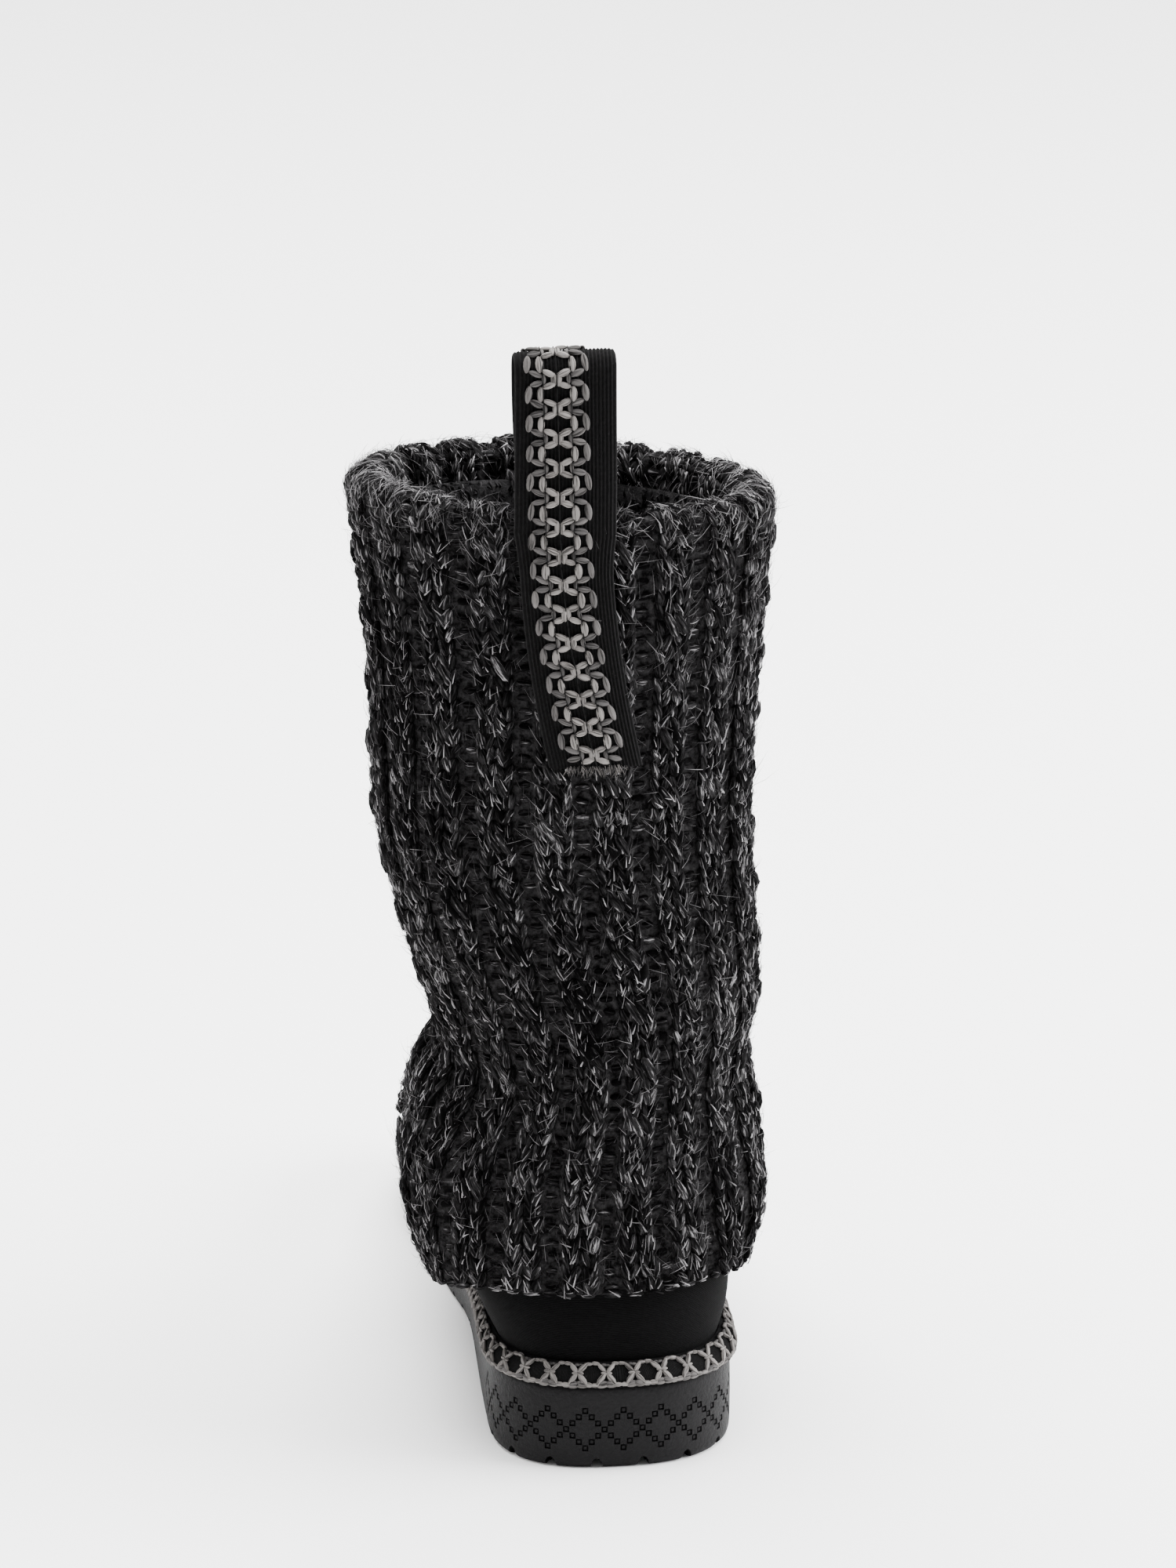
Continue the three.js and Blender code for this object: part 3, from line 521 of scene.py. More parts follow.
def joined(name, template, starts, ends, normals, widths, depths, strand, shade, bow=0.0):
    """One mesh of many copies of a template, each from a start to an end, in millimetres."""
    template.verts.ensure_lookup_table()
    shape = np.array([vert.co[:] for vert in template.verts])
    faces = np.array([[vert.index for vert in face.verts] for face in template.faces])
    uv_layer = template.loops.layers.uv.active
    uvs = np.array([[loop[uv_layer].uv[:] for loop in face.loops] for face in template.faces])
    template.free()
    count = len(starts)
    along = ends - starts
    length = np.linalg.norm(along, axis=1)
    along = unit(along)
    side = unit(np.cross(along, normals))
    up = np.cross(side, along)
    widths, depths, bow = (np.broadcast_to(v, count)[:, None] for v in (widths, depths, bow))
    x = shape[None, :, 0] * widths
    y = shape[None, :, 1] * length[:, None]
    z = shape[None, :, 2] * depths + bow * (1 - (2 * shape[None, :, 1]) ** 2)
    middle = (starts + ends) / 2
    points = middle[:, None] + x[..., None] * side[:, None] + y[..., None] * along[:, None]
    points = points + z[..., None] * up[:, None]
    numbered = faces[None] + (np.arange(count) * len(shape))[:, None, None]
    mesh = bpy.data.meshes.new(name)
    mesh.from_pydata((points.reshape(-1, 3) * MM).tolist(), [], numbered.reshape(-1, 3).tolist())
    scale = np.stack([np.broadcast_to(widths[:, 0] * math.pi, count), length], axis=1)
    layer = mesh.uv_layers.new(name="UVMap")
    layer.data.foreach_set("uv", (uvs[None] * scale[:, None, None, :]).reshape(-1).astype(np.float32))
    for key, values in (("strand", strand), ("shade", shade)):
        attribute = mesh.attributes.new(key, "FLOAT", "POINT")
        spread = np.repeat(np.broadcast_to(values, count), len(shape)).astype(np.float32)
        attribute.data.foreach_set("value", spread)
    piece = bpy.data.objects.new(name, mesh)
    bpy.context.scene.collection.objects.link(piece)
    return piece


# Materials

CLOTH_SHINE = 0.06
RUBBER_SHINE = 0.1
YARN_SHINE = 0.015


def grey(value):
    return (value, value, value)


def times(color, factor):
    return [channel * factor for channel in color]


def blend(first, second, share):
    return [lerp(a, b, share) for a, b in zip(first, second)]


class Nodes:
    """A material's node tree with short calls to add and link nodes."""

    def __init__(self, name, roughness, color, shine=CLOTH_SHINE):
        self.material = bpy.data.materials.new(name)
        self.material.use_nodes = True
        self.tree = self.material.node_tree
        self.shader = self.tree.nodes["Principled BSDF"]
        self.shader.inputs["Roughness"].default_value = roughness
        self.shader.inputs["Base Color"].default_value = (*color, 1)
        self.shader.inputs["Specular IOR Level"].default_value = shine

    def add(self, kind, inputs=(), **settings):
        node = self.tree.nodes.new(kind)
        for key, value in settings.items():
            setattr(node, key, value)
        for key, value in dict(inputs).items():
            if isinstance(value, bpy.types.NodeSocket):
                self.tree.links.new(value, node.inputs[key])
            else:
                node.inputs[key].default_value = value
        return node

    def link(self, output, key):
        self.tree.links.new(output, self.shader.inputs[key])

    def coordinates(self, kind):
        return self.add("ShaderNodeTexCoord").outputs[kind]

    def attribute(self, name):
        return self.add("ShaderNodeAttribute", attribute_name=name).outputs["Fac"]

    def noise(self, vector, scale, detail=3.0, roughness=0.55):
        inputs = {"Vector": vector, "Scale": scale, "Detail": detail, "Roughness": roughness}
        return self.add("ShaderNodeTexNoise", inputs).outputs["Fac"]

    def ribs(self, scale, distortion, detail_scale, direction):
        """Soft ribs on a UV map in millimetres."""
        inputs = {
            "Vector": self.coordinates("UV"),
            "Scale": scale,
            "Distortion": distortion,
            "Detail": 2.0,
            "Detail Scale": detail_scale,
        }
        return self.add("ShaderNodeTexWave", inputs, bands_direction=direction).outputs["Fac"]

    def strand_place(self, far_apart):
        """The UV map of a stroke of yarn, moved to a place of its own by its strand number."""
        strand = self.attribute("strand")
        spread = self.add("ShaderNodeCombineXYZ", {"X": strand, "Y": strand, "Z": strand}).outputs[0]
        inputs = {0: spread, 1: far_apart, 2: self.coordinates("UV")}
        return self.add("ShaderNodeVectorMath", inputs, operation="MULTIPLY_ADD").outputs[0]

    def fibres(self, place, scale, twist, *noise):
        """Noise drawn out along a stroke of yarn and twisted round it."""
        inputs = {"Vector": place, "Scale": scale, "Rotation": (0, 0, twist)}
        return self.noise(self.add("ShaderNodeMapping", inputs).outputs["Vector"], *noise)

    def ramp(self, factor, *stops):
        """A colour ramp through (place, colour) stops."""
        node = self.add("ShaderNodeValToRGB", {"Fac": factor})
        elements = node.color_ramp.elements
        for i, (place, color) in enumerate(stops):
            element = elements[i] if i < 2 else elements.new(place)
            element.position = place
            element.color = (*color, 1)
        return node.outputs["Color"]

    def math(self, operation, a, b=0.0, c=0.0):
        return self.add("ShaderNodeMath", {0: a, 1: b, 2: c}, operation=operation).outputs[0]

    def mix(self, factor, a, b, blend_type="MIX"):
        inputs = {0: factor, 6: a, 7: b}
        for key in (6, 7):
            if not isinstance(inputs[key], bpy.types.NodeSocket):
                inputs[key] = (*inputs[key], 1)
        return self.add("ShaderNodeMix", inputs, data_type="RGBA", blend_type=blend_type).outputs[2]

    def bump(self, height, strength, distance):
        """Bump up to a distance in millimetres."""
        inputs = {"Height": height, "Strength": strength, "Distance": distance * MM}
        self.link(self.add("ShaderNodeBump", inputs).outputs["Normal"], "Normal")

    def sheen(self, weight, tint, roughness):
        self.shader.inputs["Sheen Weight"].default_value = weight
        self.shader.inputs["Sheen Roughness"].default_value = roughness
        self.shader.inputs["Sheen Tint"].default_value = (*tint, 1)


def rubber_material(color):
    """Moulded rubber: matt, with a faint leathery grain."""
    nodes = Nodes("sole_rubber", 0.62, color, RUBBER_SHINE)
    place = nodes.coordinates("Object")
    grain = nodes.noise(place, 750, 5, 0.65)
    cloud = nodes.noise(place, 60, 2)
    nodes.link(nodes.ramp(cloud, (0.3, times(color, 0.85)), (0.7, times(color, 1.2))), "Base Color")
    nodes.link(nodes.math("MULTIPLY_ADD", grain, 0.25, 0.45), "Roughness")
    nodes.bump(grain, 0.8, 0.5)
    return nodes.material


def cloth_material(color):
    """Brushed cloth with fine horizontal ribs, with painted shade in their troughs and painted highlight
    on their crests.
    """
    nodes = Nodes("upper_cloth", 0.95, color)
    ribs = nodes.ribs(0.36, 1.2, 2.0, "Y")
    nap = nodes.noise(nodes.coordinates("Object"), 700, 5, 0.7)
    tone = nodes.ramp(nap, (0.35, times(color, 0.55)), (0.7, times(color, 1.7)))
    # Painted shade and highlight: the colour darkens in the rib troughs and lightens on the crests, on
    # the same waves as the bump.
    rib_shading = nodes.ramp(ribs, (0.2, grey(0.45)), (0.8, grey(1.6)))
    nodes.link(nodes.mix(1.0, tone, rib_shading, "MULTIPLY"), "Base Color")
    nodes.bump(nodes.math("ADD", ribs, nap), 0.9, 0.4)
    nodes.sheen(0.02, grey(0.3), 0.4)
    return nodes.material


def webbing_material(name, color, scale):
    """Ribbed webbing of thick soft yarn with a few light fibres."""
    nodes = Nodes(name, 0.95, color)
    ribs = nodes.ribs(scale, 0.8, 3.0, "X")
    nap = nodes.noise(nodes.coordinates("Object"), 900, 5, 0.7)
    specks = nodes.noise(nodes.coordinates("Object"), 2200, 2, 0.5)
    dark = nodes.ramp(nap, (0.3, times(color, 0.5)), (0.72, times(color, 1.9)))
    light = nodes.ramp(specks, (0.70, grey(0)), (0.80, grey(1)))
    nodes.link(nodes.mix(light, dark, grey(0.03)), "Base Color")
    nodes.bump(nodes.math("ADD", ribs, nap), 0.8, 0.4)
    nodes.sheen(0.05, grey(0.3), 0.4)
    return nodes.material


def cord_material(name, color):
    """Light cotton cord: fibres along each stroke, and a shade of its own for each."""
    nodes = Nodes(name, 0.9, color)
    fibres = nodes.fibres(nodes.strand_place((61, 83, 47)), (1.0, 0.1, 1), 0.5, 1.6, 4, 0.65)
    tone = nodes.ramp(fibres, (0.38, times(color, 0.22)), (0.50, color), (0.66, times(color, 1.35)))
    shade = nodes.mix(nodes.attribute("shade"), (0.0, 0.01, 0.03), (1.0, 0.99, 0.98))
    nodes.link(nodes.mix(1.0, tone, shade, "MULTIPLY"), "Base Color")
    nodes.bump(fibres, 0.9, 0.35)
    return nodes.material


def yarn_material(dark, light):
    """Marled yarn: dark fibres with short light streaks along each stitch."""
    nodes = Nodes("marled_yarn", 1.0, dark, YARN_SHINE)
    place = nodes.strand_place((173, 211, 97))
    streaks = nodes.fibres(place, (1.3, 0.26, 1), 0.3, 1.0, 2, 0.5)
    fibres = nodes.fibres(place, (4.5, 0.6, 1), 0.3, 1.3, 4, 0.7)
    bias = nodes.math("MULTIPLY", nodes.math("SUBTRACT", nodes.attribute("shade"), 0.5), 0.2)
    marl = nodes.math("MULTIPLY_ADD", streaks, 0.68, nodes.math("MULTIPLY_ADD", fibres, 0.32, bias))
    tone = nodes.ramp(marl, (0.46, dark), (0.61, blend(dark, light, 0.08)), (0.72, light))
    nodes.link(tone, "Base Color")
    nodes.bump(fibres, 1.0, 0.5)
    nodes.sheen(0.01, grey(0.6), 0.45)
    return nodes.material


def backing_material(dark, light):
    """The dark wall behind the stitches."""
    nodes = Nodes("knit_backing", 1.0, dark)
    nap = nodes.noise(nodes.coordinates("Object"), 500, 5, 0.7)
    nodes.link(nodes.ramp(nap, (0.4, dark), (0.75, blend(dark, light, 0.12))), "Base Color")
    nodes.bump(nap, 1.0, 0.8)
    return nodes.material


def fibre_material(name, dark, light):
    """Hairs, each with one tone between dark and light from its shade."""
    nodes = Nodes(name, 0.9, dark)
    nodes.link(nodes.ramp(nodes.attribute("shade"), (0.0, dark), (1.0, light)), "Base Color")
    return nodes.material


def plush_material(color):
    """Dark pile with soft clumps."""
    nodes = Nodes("plush_pile", 1.0, color)
    clumps = nodes.noise(nodes.coordinates("Object"), 200, 4, 0.65)
    nodes.link(nodes.ramp(clumps, (0.35, times(color, 0.5)), (0.7, times(color, 1.6))), "Base Color")
    nodes.bump(clumps, 1.0, 2.2)
    nodes.sheen(0.08, grey(0.5), 0.6)
    return nodes.material


def floor_material(color):
    nodes = Nodes("studio_floor", 0.85, color)
    cloud = nodes.noise(nodes.coordinates("Object"), 3, 2)
    nodes.link(nodes.ramp(cloud, (0.0, times(color, 0.99)), (1.0, color)), "Base Color")
    return nodes.material


# Sizes and colours that a user would change


def length(name, description, default):
    """A length property with its default given in millimetres."""
    return FloatProperty(name=name, description=description, default=default * MM, unit="LENGTH", min=0)


def bearing(name, description, degrees):
    """An angle property with its default given in degrees."""
    radians = math.radians(degrees)
    return FloatProperty(name=name, description=description, default=radians, subtype="ANGLE")


def paint(name, description, default):
    return FloatVectorProperty(
        name=name, description=description, default=default, subtype="COLOR", size=3, min=0, max=1
    )


def number(name, description, default, least=0):
    return IntProperty(name=name, description=description, default=default, min=least)


class SoleSettings(bpy.types.PropertyGroup):
    color: paint("Rubber", "Colour of the moulded sole", (0.0034, 0.0032, 0.0035))
    cell: length("Ornament cell", "Side of one square of the stepped diamonds", 1.9)
    line: length("Ornament line", "Width of the engraved lines", 0.48)
    depth: length("Ornament depth", "Depth of the engraved lines", 0.9)
    diamonds: number("Diamonds", "Stepped diamonds round the heel", 11, 1)


class KnitSettings(bpy.types.PropertyGroup):
    dark: paint("Dark fibres", "The yarn's dark colour", (0.0012, 0.0011, 0.0012))
    light: paint("Light fibres", "The yarn's light flecks", (0.27, 0.262, 0.268))
    rows: number("Rows", "Rows of stitches from the hem to the collar", 53, 8)
    hem_rows: number("Hem rows", "Rows of plain ribbing at the hem", 5)
    yarn: length("Yarn", "Thickness of the yarn", 2.9)
    flecks: number("Flecks", "Light tufts of fibre on the stitches", 9500)
    hairs: number("Hairs", "Loose hairs of the yarn", 12000)
    hair_length: length("Hair length", "Mean length of the loose hairs", 5.0)


class ClothSettings(bpy.types.PropertyGroup):
    cloth: paint("Upper cloth", "Colour of the brushed cloth", (0.0010, 0.0010, 0.0011))
    webbing: paint("Webbing", "Colour of the trim and pull tab", (0.0026, 0.0025, 0.0026))
    cord: paint("Cord", "Colour of the light chain stitches", (0.143, 0.135, 0.130))
    thread: paint("Thread", "Colour of the thin binding threads", (0.006, 0.006, 0.006))
    plush: paint("Plush", "Colour of the lining", (0.0085, 0.0081, 0.0085))
    tufts: number("Tufts", "Tufts of pile on the lining", 4500)
    tuft: length("Tuft length", "Length of a tuft of pile", 3.5)


class StageSettings(bpy.types.PropertyGroup):
    floor: paint("Floor", "Colour of the studio floor", (0.86, 0.86, 0.86))
    azimuth: bearing("Azimuth", "Where the camera stands, from the toe", 172.6)
    elevation: bearing("Elevation", "The camera's height as an angle", 17.9)
    distance: length("Distance", "From the camera to the boot", 2300)
    lens: FloatProperty(name="Lens", description="Focal length", default=179.6, unit="CAMERA")


# Outsole

OUTLINE_SAMPLES = 4000
SIDE_ROWS = 7
SIDE_CENTRE = 12.6
SIDE_BULGE = 0.22
SIDE_FOOT = 3.6
SIDE_SHOULDERS = (21.6, 23.2)
CELL_STRETCH = 1.05
ROUND_STEPS = 3
CAP_ROWS = 4
CUT_DROP = 0.06
GROOVE_SEGMENTS = 12
CHANNEL_COLUMNS = 160
CHANNEL_MIDDLE = RIM_LUG_LENGTH + GROOVE_WIDTH / 2
RIM_NOTCH_WIDTH = 3.7
RIM_NOTCH_DEPTH = 3.4
RIM_NOTCH_REACH = 5
DIAMOND_REACH = 3
DIAMONDS_ASIDE = -1
ENGRAVE_MARGIN = 0.03
MERGE_DISTANCE = 0.004


def sole_outline(count):
    """Angles that divide the sole's outline into even steps from the heel's back, and its length."""
    fine = around_angles(OUTLINE_SAMPLES)
    walked = walked_along(ring_point(SOLE_RING, fine))
    return np.interp(np.linspace(0, walked[-1], count + 1), walked, fine), walked[-1]


def sole_profile(cell):
    """Rows of the sole's side, from the floor up: share of its height, inset and rise."""
    bends = [math.pi / 2 * step / ROUND_STEPS for step in range(ROUND_STEPS + 1)]
    low = SIDE_CENTRE - SIDE_ROWS / 2 * cell
    rows = []
    for bend in bends:
        inset, rise = (SOLE_BOTTOM_ROUND * (1 - part) for part in (math.sin(bend), math.cos(bend)))
        rows.append((0, inset, rise))
    for height in (SIDE_FOOT, *(low + k * cell for k in range(SIDE_ROWS + 1)), *SIDE_SHOULDERS):
        share = height / SOLE_AT_HEEL
        rows.append((share, -SIDE_BULGE * math.sin(math.pi * share), 0))
    for bend in bends:
        rows.append((1, SOLE_EDGE_ROUND * (1 - math.cos(bend)), -SOLE_EDGE_ROUND * (1 - math.sin(bend))))
    return rows


def cap_rows(edge, height, count):
    """Rows that fill a closed outline from its edge in to its middle line, where both sides meet."""
    d = ORIGIN_FROM_BACK - edge[:, 1]
    d_middle = (d + d[::-1]) / 2
    middle = np.stack([centre_line(d_middle), ORIGIN_FROM_BACK - d_middle, d_middle], axis=1)
    rows = []
    for k in range(count):
        point = lerp(edge, middle, (k + 1) / count)
        point[:, 2] = height(ORIGIN_FROM_BACK - point[:, 1])
        rows.append(point)
    return rows


def sole_points(angles, profile):
    """The whole skin of the sole: under it from the middle out, up its side and in over its top."""
    normal = plan_normal(SOLE_RING, angles)
    outline = ring_point(SOLE_RING, angles)

    def row(share, inset, rise):
        point = outline - normal * inset
        d = ORIGIN_FROM_BACK - point[:, 1]
        point[:, 2] = lerp(sole_bottom(d), sole_top(d), share) + rise
        return point

    side = [row(*place) for place in profile]
    under = cap_rows(side[0], sole_bottom, CAP_ROWS)[::-1]
    over = cap_rows(side[-1], sole_top, CAP_ROWS)
    return np.array([*under, *side, *over])


def charted(column, row, columns_around, diamonds):
    """Whether a cell of the side belongs to the line of stepped diamonds round the heel."""
    half = columns_around // 2
    aside = (column - DIAMONDS_ASIDE + half) % columns_around - half
    repeat = 2 * DIAMOND_REACH
    if abs(aside) > diamonds * repeat // 2:
        return False
    from_centre = (aside + DIAMOND_REACH) % repeat - DIAMOND_REACH
    return abs(from_centre) + abs(row - SIDE_ROWS // 2) == DIAMOND_REACH


def engrave(bm, cells, line, depth):
    """Cut a square line just inside the edge of each cell."""
    wall = line / 4
    steps = ((ENGRAVE_MARGIN * MM, 0), (wall, -depth), (line - 2 * wall, 0), (wall, depth * 0.8))
    for thickness, rise in steps:
        bmesh.ops.inset_individual(
            bm, faces=cells, thickness=thickness, depth=rise, use_even_offset=True
        )


def groove_cutter(name, starts, ends, width, height):
    """Round-topped bars under the sole, each from a start to an end, in millimetres."""
    bm = bmesh.new()
    for start, end in zip(starts, ends):
        bar = bmesh.ops.create_cone(
            bm, cap_ends=True, segments=GROOVE_SEGMENTS, radius1=0.5, radius2=0.5, depth=1
        )["verts"]
        along = Vector(end) - Vector(start)
        d = ORIGIN_FROM_BACK - (start[1] + end[1]) / 2
        turn = along.to_track_quat("Z", "X")
        middle = (Vector(start) + Vector(end)) / 2
        for vert in bar:
            local = Vector((vert.co.x * width, vert.co.y * width, vert.co.z * along.length))
            placed = turn @ local
            placed.z *= 2 * height / width
            vert.co = (placed + Vector((middle.x, middle.y, sole_bottom(d) - CUT_DROP))) * MM
    bmesh.ops.recalc_face_normals(bm, faces=bm.faces)
    return object_from(name, bm)


def channel_cutter():
    """The channel between the rim's lugs and the bars in the middle."""
    angles, _ = sole_outline(CHANNEL_COLUMNS)
    outline = ring_point(SOLE_RING, angles)
    normal = plan_normal(SOLE_RING, angles)
    rings = []
    for bend in around_angles(GROOVE_SEGMENTS):
        point = outline - normal * (RIM_LUG_LENGTH + GROOVE_WIDTH / 2 * (1 - math.cos(bend)))
        rise = GROOVE_DEPTH * math.sin(bend) - CUT_DROP / 2
        point[:, 2] = sole_bottom(ORIGIN_FROM_BACK - point[:, 1]) + rise
        rings.append(point)
    return object_from("channel_cutter", close_seams(grid_bmesh(np.array(rings), (1, 1))))


def rim_grooves(reach):
    """Starts and ends of the grooves round the rim, at an even pitch, from a reach inside it."""
    _, total = sole_outline(1)
    angles, _ = sole_outline(2 * round(total / LUG_PITCH))
    middles = angles[1:-1:2]
    outline = ring_point(SOLE_RING, middles)
    normal = plan_normal(SOLE_RING, middles)
    return outline - normal * reach, outline + normal * GROOVE_DEPTH


def cross_grooves():
    """Starts and ends of the straight grooves across the middle of the tread."""
    side = np.linspace(0, math.pi, 400)
    clear = CHANNEL_MIDDLE + GROOVE_WIDTH
    places = np.arange(ORIGIN_FROM_BACK - 1.5 * LUG_PITCH, SOLE_LENGTH - clear, LUG_PITCH)
    places = places[places > clear]
    ends = []
    for turn in (side, -side):
        line = ring_point(SOLE_RING, turn) - plan_normal(SOLE_RING, turn) * CHANNEL_MIDDLE
        x = np.interp(places, ORIGIN_FROM_BACK - line[:, 1], line[:, 0])
        ends.append(np.stack([x, ORIGIN_FROM_BACK - places, np.zeros(len(places))], axis=1))
    return ends


def cut(piece, *cutters):
    """Cut the cutters out of a piece and remove them."""
    for cutter in cutters:
        modifier = piece.modifiers.new(cutter.name, "BOOLEAN")
        modifier.operation = "DIFFERENCE"
        modifier.solver = "MANIFOLD"
        modifier.object = cutter
        graph = bpy.context.evaluated_depsgraph_get()
        mesh = bpy.data.meshes.new_from_object(piece.evaluated_get(graph))
        if not mesh.polygons:
            raise RuntimeError(f"{cutter.name} left nothing of {piece.name}")
        piece.modifiers.clear()
        piece.data = mesh
        bpy.data.objects.remove(cutter)


class BOOT_OT_outsole(bpy.types.Operator):
    """Rubber sole with its lugs and the stepped diamonds round the heel"""

    bl_idname = "boot.outsole"
    bl_label = "Outsole"

    def execute(self, context):
        settings = context.scene.boot_sole
        cell = settings.cell / MM
        _, total = sole_outline(1)
        around = 2 * round(total / cell / 2)
        angles, _ = sole_outline(around)
        points = sole_points(angles, sole_profile(cell * CELL_STRETCH))
        bm = grid_bmesh(points, (total, len(points)))
        first = CAP_ROWS + ROUND_STEPS + 2
        uv = bm.loops.layers.uv.active
        cells = []
        for face in bm.faces:
            middle = sum((loop[uv].uv for loop in face.loops), Vector((0, 0))) / 4
            column = int(middle.x / total * around)
            row = int(middle.y / len(points) * (len(points) - 1)) - first
            if 0 <= row < SIDE_ROWS and charted(column, row, around, settings.diamonds):
                cells.append(face)
        close_seams(bm)
        engrave(bm, [face for face in cells if face.is_valid], settings.line, settings.depth)
        sole = object_from("outsole_rubber", bm)
        cut(
            sole,
            channel_cutter(),
            groove_cutter(
                "notch_cutter", *rim_grooves(RIM_NOTCH_REACH), RIM_NOTCH_WIDTH, RIM_NOTCH_DEPTH
            ),
            groove_cutter("rim_cutter", *rim_grooves(CHANNEL_MIDDLE), GROOVE_WIDTH, GROOVE_DEPTH),
            groove_cutter("cross_cutter", *cross_grooves(), GROOVE_WIDTH, GROOVE_DEPTH),
        )
        bm = bmesh.new()
        bm.from_mesh(sole.data)
        bmesh.ops.remove_doubles(bm, verts=bm.verts, dist=MERGE_DISTANCE * MM)
        bmesh.ops.dissolve_degenerate(bm, edges=bm.edges, dist=MERGE_DISTANCE * MM)
        bm.to_mesh(sole.data)
        bm.free()
        dress(sole, rubber_material(settings.color), "sole_rubber", "outsole", sharp=38)
        return {"FINISHED"}


# Insole, upper and lining

UPPER_COLUMNS = 150
UPPER_LEVELS = 40
SOCK_ROWS = 8


def on_sole(points):
    points[..., 2] = sole_top(ORIGIN_FROM_BACK - points[..., 1]) + GAP
    return points


class BOOT_OT_upper(bpy.types.Operator):
    """Black cloth upper with its wall, and the soft sock inside it"""

    bl_idname = "boot.upper"
    bl_label = "Upper and insole"

    def execute(self, context):
        settings = context.scene.boot_cloth
        angles = around_angles(UPPER_COLUMNS)
        levels = np.linspace(0, TOP_LEVEL, UPPER_LEVELS)
        outside, inside = (upper_rows(angles, levels, off) for off in (0, -UPPER_WALL))
        on_sole(outside[0])
        on_sole(inside[0])
        inside[-1, :, 2] = outside[-1, :, 2]
        points = np.concatenate([outside, inside[::-1], outside[:1]])
        upper = object_from("upper_cloth", close_seams(grid_bmesh(points, (640, 560))))
        dress(upper, cloth_material(settings.cloth), "upper_cloth", "upper", sharp=50)

        ring = ring_at(np.zeros(1))
        edge = on_sole(ring_point(ring, angles) - plan_normal(ring, angles) * (UPPER_WALL + GAP))
        rim = edge + np.array([0, 0, INSOLE_THICKNESS])
        top = cap_rows(rim, lambda d: sole_top(d) + GAP + INSOLE_THICKNESS, SOCK_ROWS)
        bottom = cap_rows(edge, lambda d: sole_top(d) + GAP, SOCK_ROWS)
        points = np.array([*bottom[::-1], edge, rim, *top])
        sock = object_from("insole_sock", close_seams(grid_bmesh(points, (600, 90))))
        dress(sock, plush_material(settings.plush), "insole_pile", "insole", sharp=60)
        return {"FINISHED"}


# Sole trim

TRIM_COLUMNS = 420
TRIM_FACE_ROWS = 7
TRIM_BULGE = 0.5
TRIM_TONE = 0.85
STITCH_OVERLAP = 0.3


def trim_rows():
    """The band's section as five rings: up its outside from the sole's edge, then down its back."""
    angles = around_angles(TRIM_COLUMNS)
    level = np.full(angles.shape, level_at(SOLE_AT_HEEL + TRIM_HEIGHT))
    low = on_sole(ring_point(SOLE_RING, angles) + plan_normal(SOLE_RING, angles) * TRIM_PROUD)
    lip = low + np.array([0, 0, TRIM_LIP])
    top = upper_point(angles, level, GAP + TRIM_THICKNESS)
    back = upper_point(angles, level, GAP)
    foot = on_sole(upper_point(angles, np.zeros(angles.shape), GAP))
    return low, lip, top, back, foot


def sew(skin, table, places, lift, tone, rng, wobble, thickness, uneven):
    """A table's strokes at each (start, end, middle) place: starts, ends, normals, widths, shades."""
    sewn = []
    count = len(lift)
    for start, end, middle in places:
        shaken = rng.normal(0, wobble, (2, count, 3))
        sewn.append((
            skin.at(*start, lift) + shaken[0],
            skin.at(*end, lift) + shaken[1],
            skin.normal(*middle),
            table["width"] * rng.uniform(*thickness, count),
            np.clip(tone * table["shade"] + rng.normal(0, uneven, count), 0, 1),
        ))
    starts, ends, normals, widths, shades = (np.concatenate(values) for values in zip(*sewn))
    over = unit(ends - starts) * STITCH_OVERLAP
    return starts - over, ends + over, normals, widths, shades


def trim_places(walked, rows):
    """Both mirrored halves of every crossing round the band, as columns and rows of its outside."""
    table = TRIM_STITCHES
    count = round(walked[-1] / TRIM_REPEAT)
    pitch = walked[-1] / count
    row0, row1 = (1 + table[key] * (rows - 1) for key in ("y0", "y1"))
    for mirror in (-1, 1):
        for k in range(count):
            along = (np.mod((k + 0.5) * pitch + mirror * table[key], walked[-1]) for key in ("x0", "x1"))
            column0, column1 = (np.interp(place, walked, np.arange(len(walked))) for place in along)
            yield (column0, row0), (column1, row1), (column0, (row0 + row1) / 2)


class BOOT_OT_trim(bpy.types.Operator):
    """Webbing band round the sole's edge with its chain stitches"""

    bl_idname = "boot.trim"
    bl_label = "Sole trim"

    def execute(self, context):
        settings = context.scene.boot_cloth
        low, lip, top, back, foot = trim_rows()
        crown = unit(np.cross(np.gradient(low, axis=0), top - lip))
        outside = [low, lerp(low, lip, 0.6)]
        for share in np.linspace(0, 1, TRIM_FACE_ROWS):
            outside.append(lerp(lip, top, share) - crown * (TRIM_BULGE * math.sin(math.pi * share)))
        points = np.array([*outside, back, foot, low])
        band = object_from("trim_band", close_seams(grid_bmesh(points, (660, 14))))
        material = webbing_material("trim_webbing", settings.webbing, 0.45)
        dress(band, material, "trim_webbing", "sole_trim", sharp=60)

        rng = np.random.default_rng(11)
        places = trim_places(walked_along(outside[4]), len(outside) - 1)
        lift = 0.25 * TRIM_STITCHES["width"] + 0.5 * TRIM_STITCHES["lift"]
        starts, ends, normals, widths, shades = sew(
            Skin(np.array(outside)), TRIM_STITCHES, places, lift, TRIM_TONE, rng, 0.09, (1.0, 1.22), 0.06
        )
        strand = rng.uniform(0, 1, len(starts))
        template = stroke_template(8, 5, 2.2, 2)
        cords = joined(
            "trim_cords", template, starts, ends, normals, widths, widths * 0.85, strand, shades
        )
        dress(cords, cord_material("trim_cord", settings.cord), "trim_webbing")
        return {"FINISHED"}


# Knit sleeve

